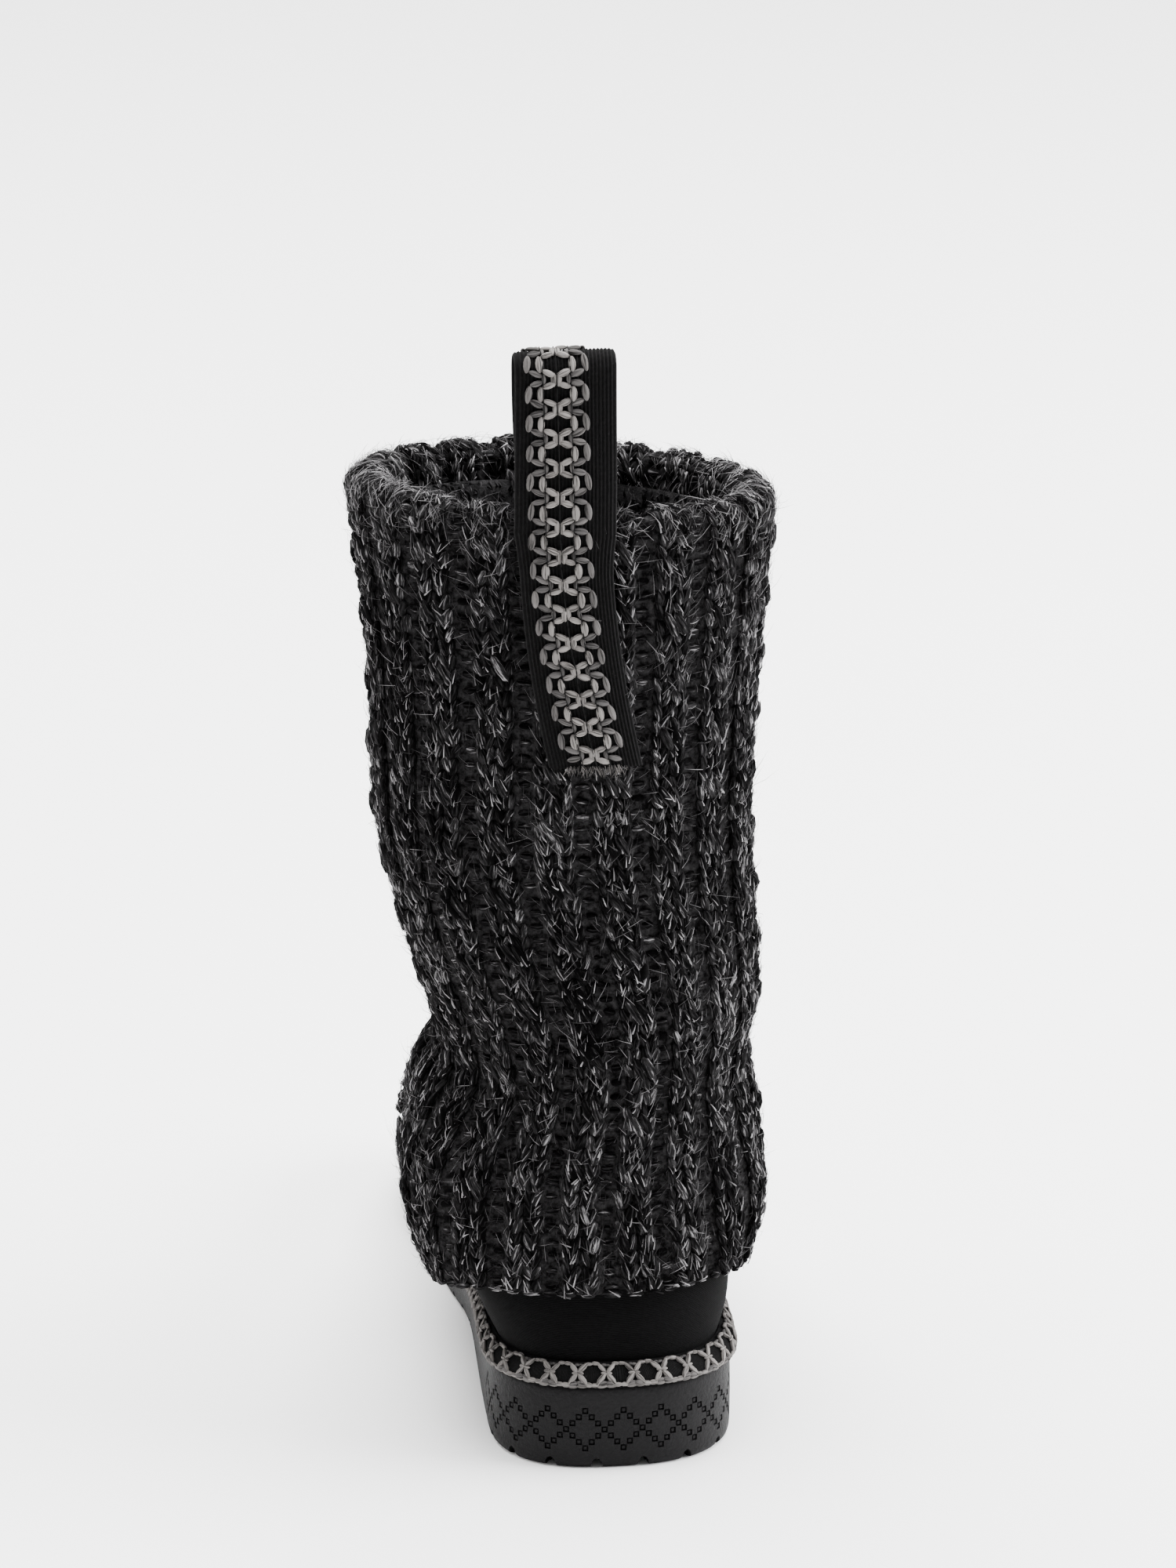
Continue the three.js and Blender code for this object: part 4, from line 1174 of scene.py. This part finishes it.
FINE_ANGLES = 360
ROW_SAMPLES = 4
WALES_IN_ROPE = 3
SHAFT_ROUND = 345
KNIT_ROW = 4.5
OUTSIDE_ROWS = 140
ROLL_ROWS = 25
FOLD_ROWS = 15
BACKING_SINK = 1.95
GUTTER_SINK = 1.3
TWIST_EVERY = 4
WALE_JITTER = 0.05
ROW_JITTER = 0.07
LIFT_JITTER = 0.22
WIDTH_JITTER = 0.08
COLLAR_HAIRS = 0.16


def shaft_rows(angles, shares, off):
    """Rows at shares of the way from the hem to the collar, moved off the upper and slack."""
    hem = hem_level(angles)
    levels = [lerp(hem, TOP_LEVEL, share) for share in shares]
    return [upper_point(angles, level, off + slack_at(angles, level)) for level in levels]


def sleeve_path(angles):
    """The middle of the knit from the hem up, over the collar and down to the turned-in edge."""
    rise = GAP + KNIT_WALL + ROPE_RISE
    inner = -(UPPER_WALL + GAP + KNIT_FOLD_WALL)
    outside = shaft_rows(angles, np.linspace(0, 1, OUTSIDE_ROWS), rise)
    top = np.full(angles.shape, TOP_LEVEL, float)
    collar = upper_point(angles, top)
    out = plan_normal(ring_at(top), angles)
    roll = []
    for bend in math.pi * np.linspace(0, 1, ROLL_ROWS + 1)[1:]:
        off = lerp(rise, inner, (1 - math.cos(bend)) / 2)
        roll.append(collar + out * off + np.array([0, 0, rise * math.sin(bend)]))
    fold = level_at(UPPER_HEIGHT - KNIT_FOLD_DEPTH)
    inside = upper_rows(angles, np.linspace(TOP_LEVEL, fold, FOLD_ROWS + 1)[1:], inner)
    return np.array(outside), np.array([*outside, *roll, *inside])


def sleeve_skin(rows):
    """The knit's outer surface with even rows, and how many rows there are to the very end."""
    outside, whole = sleeve_path(around_angles(FINE_ANGLES))
    reach, total = (
        np.linalg.norm(np.diff(path, axis=0), axis=-1).sum(axis=0) for path in (outside, whole)
    )
    beyond = round(float(np.mean((total - reach) / (reach / rows))))
    lower = even_rows(outside, rows * ROW_SAMPLES)
    upper = even_rows(whole[len(outside) - 1:], beyond * ROW_SAMPLES)
    return Skin(np.concatenate([lower, upper[1:]])), rows + beyond


def wale_of(column):
    return column / FINE_ANGLES * WALES_IN_ROPE * ROPES_AROUND


def rope_crown(wale):
    """How far the knit sinks below its ropes, from 0 on a rope to 1 in the middle of a gutter."""
    half = WALES_IN_ROPE / 2
    from_gutter = np.abs(np.mod(wale + half, WALES_IN_ROPE) - half)
    return 1 - smoothstep(from_gutter, 0.15, 0.85)


def sleeve_cloth(skin, settings):
    """A closed dark wall under the stitches, with the same ropes and gutters."""
    angles = around_angles(FINE_ANGLES)
    rows = skin.points.shape[0]
    kept = np.unique(np.append(np.arange(0, rows, 3), rows - 1))
    sink = BACKING_SINK + GUTTER_SINK * rope_crown(wale_of(np.arange(FINE_ANGLES + 1)))
    outside = skin.points[kept] - skin.outward * skin.normals[kept] * sink[:, None]
    fold = level_at(UPPER_HEIGHT - KNIT_FOLD_DEPTH)
    inside, over_inside = upper_rows(angles, (fold, TOP_LEVEL), -UPPER_WALL - GAP)
    (over_outside,) = upper_rows(angles, (TOP_LEVEL,), GAP)
    over_inside[:, 2] += GAP
    over_outside[:, 2] += GAP
    behind = shaft_rows(angles, np.linspace(1, 0, 30)[1:], GAP)
    points = np.concatenate([outside, [inside, over_inside, over_outside, *behind], outside[:1]])
    cloth = object_from("sleeve_backing", close_seams(grid_bmesh(points, (360, 600))))
    material = backing_material(settings.dark, settings.light)
    dress(cloth, material, "marled_knit", "knit_sleeve", sharp=70)


def stitch_strokes(rows, hem_rows, rng):
    """Every stroke of yarn as (start wale, start row, end wale, end row, lift, width factor)."""
    strokes = []
    for gutter in range(0, WALES_IN_ROPE * ROPES_AROUND, WALES_IN_ROPE):
        phase = rng.integers(0, TWIST_EVERY)
        for row in range(rows):
            plain = row < hem_rows
            for wale in (gutter + 1, gutter + 2):
                for side in (-1, 1):
                    leg = (wale + side * 0.06, row - 0.25, wale + side * 0.40, row + 1.05)
                    strokes.append((*leg, 0, 1))
            if not plain and (row + phase) % TWIST_EVERY == 2:
                for wale in (gutter + 0.75, gutter + 1.3):
                    strokes.append((wale, row - 0.3, wale + 0.75, row + 1.5, 0.9, 1.1))
            half = 0.36 if plain else 0.42
            strokes.append((gutter - half, row + 0.5, gutter + half, row + 0.5, -1.9, 0.8))
        for wale in (gutter, gutter + 1, gutter + 2):
            strokes.append((wale - 0.45, -0.15, wale + 0.45, -0.15, -0.5, 0.8))
    return np.array(strokes)


class BOOT_OT_sleeve(bpy.types.Operator):
    """Knit sleeve: its wall, stitches and loose hairs"""

    bl_idname = "boot.sleeve"
    bl_label = "Knit sleeve"

    def execute(self, context):
        settings = context.scene.boot_knit
        skin, rows = sleeve_skin(settings.rows)
        sleeve_cloth(skin, settings)
        rng = np.random.default_rng(5)
        strokes = stitch_strokes(rows, settings.hem_rows, rng)
        per_wale = FINE_ANGLES / (WALES_IN_ROPE * ROPES_AROUND)
        yarn = settings.yarn / MM
        jitter = rng.normal(0, 1, (len(strokes), 6))
        column0 = (strokes[:, 0] + WALE_JITTER * jitter[:, 0]) * per_wale
        column1 = (strokes[:, 2] + WALE_JITTER * jitter[:, 1]) * per_wale
        row0 = (strokes[:, 1] + ROW_JITTER * jitter[:, 2]) * ROW_SAMPLES
        row1 = (strokes[:, 3] + ROW_JITTER * jitter[:, 3]) * ROW_SAMPLES
        lift = strokes[:, 4] - 0.45 * yarn + LIFT_JITTER * jitter[:, 4]
        starts = skin.at(column0, row0, lift - 0.35)
        ends = skin.at(column1, row1, lift + 0.15)
        normals = skin.normal((column0 + column1) / 2, (row0 + row1) / 2)
        widths = yarn * strokes[:, 5] * (1 + WIDTH_JITTER * jitter[:, 5])
        strand = rng.uniform(0, 1, len(strokes))
        patches = np.sin(0.23 * strokes[:, 1] + np.sin(0.4 * strokes[:, 0]))
        patches *= np.sin(0.31 * strokes[:, 0] + 1.7)
        shade = np.clip(rng.normal(0.5, 0.2, len(strokes)) + 0.16 * patches, 0, 1)
        material = yarn_material(settings.dark, settings.light)
        order = np.argsort(strokes[:, 1], kind="stable")
        parts = np.array_split(order, 3)
        for part, place in zip(parts, ("low", "middle", "high")):
            piece = joined(
                f"knit_stitches_{place}", stroke_template(6, 4, 2.6, 0), starts[part], ends[part],
                normals[part], widths[part], widths[part] * 0.95, strand[part], shade[part], bow=0.25,
            )
            dress(piece, material, "marled_knit")
        hair = fibre_material("yarn_hair", settings.dark, settings.light)
        # Light flecks go only on the rope strokes and none on the gutter strokes, so the gutters stay
        # darker: painted shade in the gutters.
        on_ropes = np.flatnonzero(strokes[:, 4] > -1)
        self.flecks(*(values[on_ropes] for values in (starts, ends, normals, widths)), settings, hair)
        self.hairs(skin, rows, settings, hair)
        return {"FINISHED"}

    def flecks(self, starts, ends, normals, widths, settings, hair):
        """Short light tufts of fibre that lie along the stitches, on top of them."""
        rng = np.random.default_rng(17)
        count = settings.flecks
        pick = rng.integers(0, len(starts), count)
        along = unit(ends[pick] - starts[pick])
        side = unit(np.cross(along, normals[pick]))
        across = rng.uniform(-0.75, 0.75, count)
        radius = widths[pick] / 2
        middle = lerp(starts[pick], ends[pick], rng.uniform(0.2, 0.8, count)[:, None])
        middle = middle + side * (across * radius)[:, None]
        middle = middle + normals[pick] * (np.sqrt(1 - across**2) * radius * 0.95 + 0.1)[:, None]
        turned = along + side * rng.normal(0, 0.28, count)[:, None]
        turned = turned + normals[pick] * rng.normal(0, 0.06, count)[:, None]
        half = unit(turned) * rng.uniform(0.7, 2.2, count)[:, None]
        width = rng.uniform(0.25, 0.7, count)
        shade = rng.uniform(0.1, 1, count) ** 2
        tufts = joined(
            "knit_flecks", hair_template(2), middle - half, middle + half, normals[pick],
            width, width * 0.7, rng.uniform(0, 1, count), shade, bow=rng.uniform(0, 0.4, count),
        )
        dress(tufts, hair, "marled_knit")

    def hairs(self, skin, rows, settings, hair):
        """Loose fine hairs that lie over the stitches and stand off them."""
        rng = np.random.default_rng(23)
        count = settings.hairs
        column = rng.uniform(0, FINE_ANGLES, count)
        at_collar = rng.uniform(0, 1, count) < COLLAR_HAIRS
        first, last = 0.1, rows - 0.5
        near_collar = rng.normal(settings.rows + 1, 2, count)
        row = np.where(at_collar, near_collar, rng.uniform(first, last, count))
        row = np.clip(row, first, last) * ROW_SAMPLES
        reach = settings.hair_length / MM * rng.uniform(0.3, 1.6, count)
        turn = rng.normal(math.pi / 2, 0.8, count)
        column1 = column + reach * np.cos(turn) * FINE_ANGLES / SHAFT_ROUND
        row1 = row + reach * np.sin(turn) * ROW_SAMPLES / KNIT_ROW
        gutter = rope_crown(wale_of(column))
        lift = rng.uniform(-0.5, 0.4, count) - 1.4 * gutter
        rise = rng.exponential(0.8, count)
        rise += (rng.uniform(0, 1, count) < 0.1) * rng.uniform(0.6, 2.4, count)
        starts = skin.at(column, row, lift)
        ends = skin.at(column1, row1, lift + rise)
        normals = skin.normal(column, row)
        # Painted light and shade: hairs near the collar are lighter, for the light that falls on the
        # collar from above, and hairs in the gutters are darker, for the shade in the gutters.
        shade = rng.uniform(0, 1, count) ** np.where(at_collar, 1.0, 2.0) * (1 - 0.6 * gutter)
        width = rng.uniform(0.09, 0.19, count)
        fuzz = joined(
            "knit_hairs", hair_template(2), starts, ends, normals, width, width,
            rng.uniform(0, 1, count), shade, bow=rng.uniform(0, 0.8, count),
        )
        dress(fuzz, hair, "marled_knit")


# Plush lining

LINING_COLUMNS = 120
LINING_ROWS = 39
TUFTED_ROWS = 20
PILE_AT_EDGE = 0.4
PILE = 5.4
# Soft folds of the pile: size in millimetres, waves around, waves up, where they start
FOLDS = ((1.3, 5, 9, 0), (1.1, 11, -16, 2), (0.7, 19, 23, 0))


class BOOT_OT_lining(bpy.types.Operator):
    """Plush lining inside the shaft, with tufts of pile that show at the collar"""

    bl_idname = "boot.lining"
    bl_label = "Plush lining"

    def execute(self, context):
        settings = context.scene.boot_cloth
        angles = around_angles(LINING_COLUMNS)
        low = level_at(SOLE_AT_HEEL + INSTEP_RISE * HALFWAY)
        high = level_at(UPPER_HEIGHT - 6)
        under_knit = level_at(UPPER_HEIGHT - KNIT_FOLD_DEPTH - 3)
        soft, back = [], []
        for level in np.linspace(low, high, LINING_ROWS + 1):
            edge = smoothstep((high - level) / (high - low), 0, 0.04)
            folds = sum(size * np.sin(a * angles + b * level + c) for size, a, b, c in FOLDS)
            depth = lerp(PILE_AT_EDGE, PILE, edge) + folds * edge
            beside_knit = smoothstep(level, under_knit - 0.1, under_knit)
            wall = -(UPPER_WALL + GAP) - beside_knit * (KNIT_FOLD_WALL + GAP)
            ring = np.full(angles.shape, level)
            soft.append(upper_point(angles, ring, wall - depth))
            back.append(upper_point(angles, ring, wall))
        points = np.concatenate([back, soft[::-1], back[:1]])
        lining = object_from("plush_lining", close_seams(grid_bmesh(points, (330, 400))))
        dress(lining, plush_material(settings.plush), "insole_pile")
        self.tufts(Skin(np.array(soft)), settings)
        return {"FINISHED"}

    def tufts(self, skin, settings):
        """Tufts of pile that lean all ways, most of them near the collar."""
        rng = np.random.default_rng(31)
        count = settings.tufts
        column = rng.uniform(0, LINING_COLUMNS, count)
        row = LINING_ROWS - TUFTED_ROWS * rng.uniform(0, 1, count) ** 1.5
        reach = settings.tuft / MM * rng.uniform(0.5, 1.3, count)
        turn = rng.uniform(0, TAU, count)
        inward = skin.normal(column, row) * -1
        lean = skin.at(column + reach * 0.21 * np.cos(turn), row + reach * 0.08 * np.sin(turn))
        ends = lean + inward * (reach * 0.5)[:, None]
        tufts = joined(
            "plush_tufts", hair_template(2), skin.at(column, row), ends, inward, 1.1, 1.0,
            rng.uniform(0, 1, count), rng.uniform(0, 1, count) ** 1.5, bow=rng.uniform(0.3, 1.2, count),
        )
        material = fibre_material("plush_tuft", times(settings.plush, 0.35), times(settings.plush, 2.4))
        dress(tufts, material, "insole_pile")


# Pull tab

TAB_RIBS = 27
TAB_ROWS = 100
ROWS_ON_SHAFT = 30
ROWS_TO_FOLD = 15
ROWS_IN_FOLD = 12
ROWS_INSIDE = 10
RIB_SAMPLES = 4
RIB_RISE = 0.24
EDGE_POWER = 14
EMBROIDERY_ASIDE_AT_FOOT = 0.0
EMBROIDERY_ASIDE_AT_LOOP = 3.0
THREAD_ASIDE = 4.0
THREAD_LIFT = 1.25
THREAD_WIDTH = 0.3
THREAD_OVERLAP = 0.12
FRAYED_ENDS = 90
FRAY_WIDTH = 0.3


def tab_width(height):
    to_loop = smoothstep(height, UPPER_HEIGHT - TAB_FLARE, UPPER_HEIGHT + TAB_FLARE)
    return lerp(TAB_WIDTH_ON_SHAFT, TAB_WIDTH_AT_LOOP, to_loop)


def angle_aside(level, aside):
    """The angle near the heel's back where a ring passes a given distance aside."""
    ring = ring_at(level)
    low = np.full(aside.shape, -math.pi / 2)
    high = np.full(aside.shape, math.pi / 2)
    for _ in range(24):
        middle = (low + high) / 2
        under = ring_point(ring, middle)[..., 0] < aside
        low = np.where(under, middle, low)
        high = np.where(under, high, middle)
    return (low + high) / 2


def tab_middle(shares):
    """Points [along, across] of the middle of the strap, from its foot over the loop and inside."""
    outside_off = 2 * GAP + KNIT_WALL + ROPE_RISE + TAB_THICKNESS / 2
    inside_off = -(UPPER_WALL + 2 * GAP + KNIT_FOLD_WALL + TAB_THICKNESS / 2)

    def sewn(off, *heights):
        rows = []
        for height in np.linspace(*heights):
            up_shaft = smoothstep(height, TAB_FOOT_HEIGHT, UPPER_HEIGHT)
            aside = lerp(TAB_ASIDE_AT_FOOT, TAB_ASIDE_AT_LOOP, math.sqrt(up_shaft))
            aside = aside + shares * tab_width(height) / 2
            level = np.full(shares.shape, level_at(height))
            rows.append(upper_point(angle_aside(level, aside), level, off))
        return rows

    outer = sewn(outside_off, TAB_FOOT_HEIGHT, UPPER_HEIGHT, ROWS_ON_SHAFT)
    inner = sewn(inside_off, UPPER_HEIGHT, UPPER_HEIGHT - TAB_INSIDE_LENGTH, ROWS_INSIDE)
    fold_height = TAB_LOOP_HEIGHT - TAB_THICKNESS / 2 - TAB_LOOP_FOLD
    centre = len(shares) // 2
    middle_y = (outer[-1][centre, 1] + inner[0][centre, 1]) / 2

    def loop_row(foot, away, height):
        lift = smoothstep(height, UPPER_HEIGHT, fold_height)
        x = lerp(foot[:, 0], TAB_ASIDE_AT_LOOP + shares * tab_width(height) / 2, math.sqrt(lift))
        y = lerp(foot[:, 1], middle_y + away, lift)
        return np.stack([x, y, np.full(shares.shape, height)], axis=1)

    heights = np.linspace(UPPER_HEIGHT, fold_height, ROWS_TO_FOLD + 1)[1:]
    up = [loop_row(outer[-1], TAB_LOOP_FOLD, height) for height in heights]
    down = [loop_row(inner[0], -TAB_LOOP_FOLD, height) for height in heights[::-1]]
    fold = []
    for bend in np.linspace(-math.pi / 2, math.pi / 2, ROWS_IN_FOLD + 1)[1:-1]:
        row = loop_row(outer[-1], TAB_LOOP_FOLD, fold_height)
        row[:, 1] -= TAB_LOOP_FOLD * (1 + math.sin(bend))
        row[:, 2] += TAB_LOOP_FOLD * math.cos(bend)
        fold.append(row)
    return np.array([*outer, *up, *fold, *down, *inner])


class StrapFace:
    """The strap's outer face, with places given in millimetres across and along it."""

    def __init__(self, points, normals):
        self.skin = Skin(points, closed=False)
        self.skin.normals = normals
        self.walked = walked_along(points[:, points.shape[1] // 2])
        self.width = np.linalg.norm(points[:, -1] - points[:, 0], axis=1)
        self.columns = points.shape[1] - 1

    def place(self, x, along):
        """Column and row of a place, which moves to the medial edge with the embroidery."""
        row = np.interp(along, self.walked, np.arange(len(self.walked)))
        span = np.interp(along, self.walked, self.width)
        up_strap = np.clip(along / (TAB_LOOP_HEIGHT - TAB_FOOT_HEIGHT), 0, 1)
        aside = lerp(EMBROIDERY_ASIDE_AT_FOOT, EMBROIDERY_ASIDE_AT_LOOP, up_strap)
        return ((x + aside) / span + 0.5) * self.columns, row

    def repeats(self):
        return int(self.walked[-1] / EMBROIDERY_REPEAT)

    def stitches(self):
        """Both mirrored halves of every crossing along the strap, as columns and rows."""
        table = EMBROIDERY
        for k in range(self.repeats()):
            along = (k + 0.5) * EMBROIDERY_REPEAT
            for mirror in (-1, 1):
                start = self.place(mirror * table["x0"], along + table["y0"])
                end = self.place(mirror * table["x1"], along + table["y1"])
                yield start, end, tuple((a + b) / 2 for a, b in zip(start, end))


class BOOT_OT_pull_tab(bpy.types.Operator):
    """Ribbed pull tab with its chain embroidery"""

    bl_idname = "boot.pull_tab"
    bl_label = "Pull tab"

    def execute(self, context):
        settings = context.scene.boot_cloth
        steps = TAB_RIBS * RIB_SAMPLES
        shares = np.linspace(-1, 1, steps + 1)
        middle = even_rows(tab_middle(shares), TAB_ROWS)
        normals = Skin(middle, closed=False).normals
        if normals[0, steps // 2, 1] < 0:
            normals = -normals
        edge = np.sqrt(np.clip(1 - np.abs(shares) ** EDGE_POWER, 0, 1))
        ribs = RIB_RISE * np.cos(TAU * TAB_RIBS * (shares + 1) / 2)
        half = (TAB_THICKNESS / 2 * edge - ribs * edge)[None, :, None]
        front = middle + normals * half
        back = (middle - normals * half)[:, ::-1]
        points = np.concatenate([front, back[:, 1:]], axis=1)
        points[:, -1] = points[:, 0]
        bm = grid_bmesh(points, (60, 200))
        bmesh.ops.remove_doubles(bm, verts=bm.verts, dist=0.002 * MM)
        bmesh.ops.holes_fill(bm, edges=bm.edges, sides=0)
        bmesh.ops.recalc_face_normals(bm, faces=bm.faces)
        strap = object_from("tab_strap", bm)
        material = webbing_material("tab_webbing", settings.webbing, 0.01)
        dress(strap, material, "tab_webbing", "pull_tab", sharp=70)

        face = StrapFace(middle + normals * TAB_THICKNESS / 2, normals)
        rng = np.random.default_rng(43)
        self.embroider(face, rng, settings)
        self.bind(face, rng, settings)
        self.fray(face, rng, settings)
        return {"FINISHED"}

    def embroider(self, face, rng, settings):
        """Chain stitches along the whole strap, nearer to its medial edge at the loop."""
        lift = 0.22 * EMBROIDERY["width"] + 0.4 * EMBROIDERY["lift"]
        starts, ends, normals, widths, shades = sew(
            face.skin, EMBROIDERY, face.stitches(), lift, 1, rng, 0.1, (0.98, 1.2), 0.05
        )
        strand = rng.uniform(0, 1, len(starts))
        template = stroke_template(10, 7, 1.9, 2)
        cords = joined(
            "tab_embroidery", template, starts, ends, normals, widths, widths * 0.8, strand, shades,
            bow=0.15,
        )
        dress(cords, cord_material("tab_cord", settings.cord), "tab_webbing")

    def bind(self, face, rng, settings):
        """Three thin threads that run over the embroidery and hold it down."""
        pieces = 2 * face.repeats()
        lines = []
        for x in (-THREAD_ASIDE, 0, THREAD_ASIDE):
            along = np.linspace(0, face.walked[-1], pieces + 1)
            column, row = face.place(x + rng.normal(0, 0.12, pieces + 1), along)
            line = face.skin.at(column, row, THREAD_LIFT + rng.normal(0, 0.06, pieces + 1))
            lines.append((line[:-1], line[1:], face.skin.normal(column, row)[1:]))
        starts, ends, normals = (np.concatenate(values) for values in zip(*lines))
        over = unit(ends - starts) * THREAD_OVERLAP
        threads = joined(
            "tab_threads", stroke_template(5, 4, 8.0, 0), starts - over, ends + over, normals,
            THREAD_WIDTH, THREAD_WIDTH, 0.5, 0.5,
        )
        material = fibre_material("binding_thread", settings.thread, settings.thread)
        dress(threads, material, "tab_webbing")

    def fray(self, face, rng, settings):
        """Loose ends of light cord that hang from the strap's foot."""
        count = FRAYED_ENDS
        column, row = face.place(rng.uniform(-9, 9, count), rng.uniform(0.2, 1.2, count))
        starts = face.skin.at(column, row, rng.uniform(0.2, 1.0, count))
        aside, out = rng.normal(0, 0.9, count), rng.uniform(0, 0.9, count)
        drop = np.stack([aside, out, -rng.uniform(1.2, 3.2, count)], axis=1)
        ends = joined(
            "tab_frays", hair_template(2), starts, starts + drop, face.skin.normal(column, row),
            FRAY_WIDTH, FRAY_WIDTH, rng.uniform(0, 1, count), rng.uniform(0.2, 1, count), bow=0.5,
        )
        dress(ends, cord_material("tab_fray", settings.cord), "tab_webbing")


# Stage

FLOOR_REACH = 30
SENSOR_WIDTH = 36
FARTHEST_SEEN = 100
LOOKED_AT = (5.16, 0, 203.04)
LIT_PLACE = (0, -0.05, 0.12)
WORLD_STRENGTH = 0.55
# Area lamps: name, place in metres, size in metres, power, colour
LAMPS = (
    ("top", (0.0, -0.7, 2.9), 3.0, 500, (1.0, 1.0, 1.0)),
    ("medial_side", (1.9, -0.3, 1.0), 1.6, 36, (1.0, 0.99, 0.98)),
    ("lateral_side", (-1.9, 0.1, 1.1), 1.6, 170, (0.99, 0.99, 1.0)),
)


def aim(item, place, target):
    """Stand a lamp or camera at a place and turn it to a target."""
    item.location = place
    item.rotation_euler = (Vector(target) - Vector(place)).to_track_quat("-Z", "Y").to_euler()
    bpy.context.scene.collection.objects.link(item)


class BOOT_OT_stage(bpy.types.Operator):
    """Pale floor, soft lights and the camera"""

    bl_idname = "boot.stage"
    bl_label = "Stage"

    def execute(self, context):
        settings = context.scene.boot_stage
        bm = bmesh.new()
        bmesh.ops.create_grid(bm, x_segments=2, y_segments=2, size=FLOOR_REACH)
        floor = object_from("studio_floor", bm)
        floor.data.materials.append(floor_material(settings.floor))

        target = Vector(LOOKED_AT) * MM
        a, e = settings.azimuth, settings.elevation
        back = Vector((math.sin(a) * math.cos(e), -math.cos(a) * math.cos(e), math.sin(e)))
        camera = bpy.data.objects.new("camera", bpy.data.cameras.new("camera"))
        camera.data.sensor_width = SENSOR_WIDTH
        camera.data.lens = settings.lens
        camera.data.clip_end = FARTHEST_SEEN
        aim(camera, target + back * settings.distance, target)
        context.scene.camera = camera

        for name, place, size, power, color in LAMPS:
            lamp = bpy.data.lights.new(name, "AREA")
            lamp.size = size
            lamp.energy = power
            lamp.color = color
            aim(bpy.data.objects.new(name, lamp), place, LIT_PLACE)
        world = bpy.data.worlds.new("studio")
        world.use_nodes = True
        background = world.node_tree.nodes["Background"]
        background.inputs["Color"].default_value = (1, 1, 1, 1)
        background.inputs["Strength"].default_value = WORLD_STRENGTH
        context.scene.world = world
        return {"FINISHED"}


class BOOT_PT_panel(bpy.types.Panel):
    """The boot's pieces and settings"""

    bl_idname = "BOOT_PT_panel"
    bl_label = "Winter Boot"
    bl_space_type = "VIEW_3D"
    bl_region_type = "UI"
    bl_category = "Boot"

    def draw(self, context):
        for operator in OPERATORS:
            self.layout.operator(operator.bl_idname)
        for key, group in GROUPS.items():
            box = self.layout.box()
            for name in group.__annotations__:
                box.prop(getattr(context.scene, key), name)


OPERATORS = (
    BOOT_OT_stage,
    BOOT_OT_outsole,
    BOOT_OT_upper,
    BOOT_OT_trim,
    BOOT_OT_lining,
    BOOT_OT_sleeve,
    BOOT_OT_pull_tab,
)
GROUPS = {
    "boot_sole": SoleSettings,
    "boot_knit": KnitSettings,
    "boot_cloth": ClothSettings,
    "boot_stage": StageSettings,
}


def register():
    for item in (*GROUPS.values(), *OPERATORS, BOOT_PT_panel):
        bpy.utils.register_class(item)
    for key, group in GROUPS.items():
        setattr(bpy.types.Scene, key, PointerProperty(type=group))


def unregister():
    for key in GROUPS:
        delattr(bpy.types.Scene, key)
    for item in (BOOT_PT_panel, *OPERATORS, *GROUPS.values()):
        bpy.utils.unregister_class(item)


def main():
    register()
    bpy.ops.boot.stage()
    bpy.ops.boot.outsole()
    bpy.ops.boot.upper()
    bpy.ops.boot.trim()
    bpy.ops.boot.lining()
    bpy.ops.boot.sleeve()
    bpy.ops.boot.pull_tab()


if __name__ == "__main__":
    main()
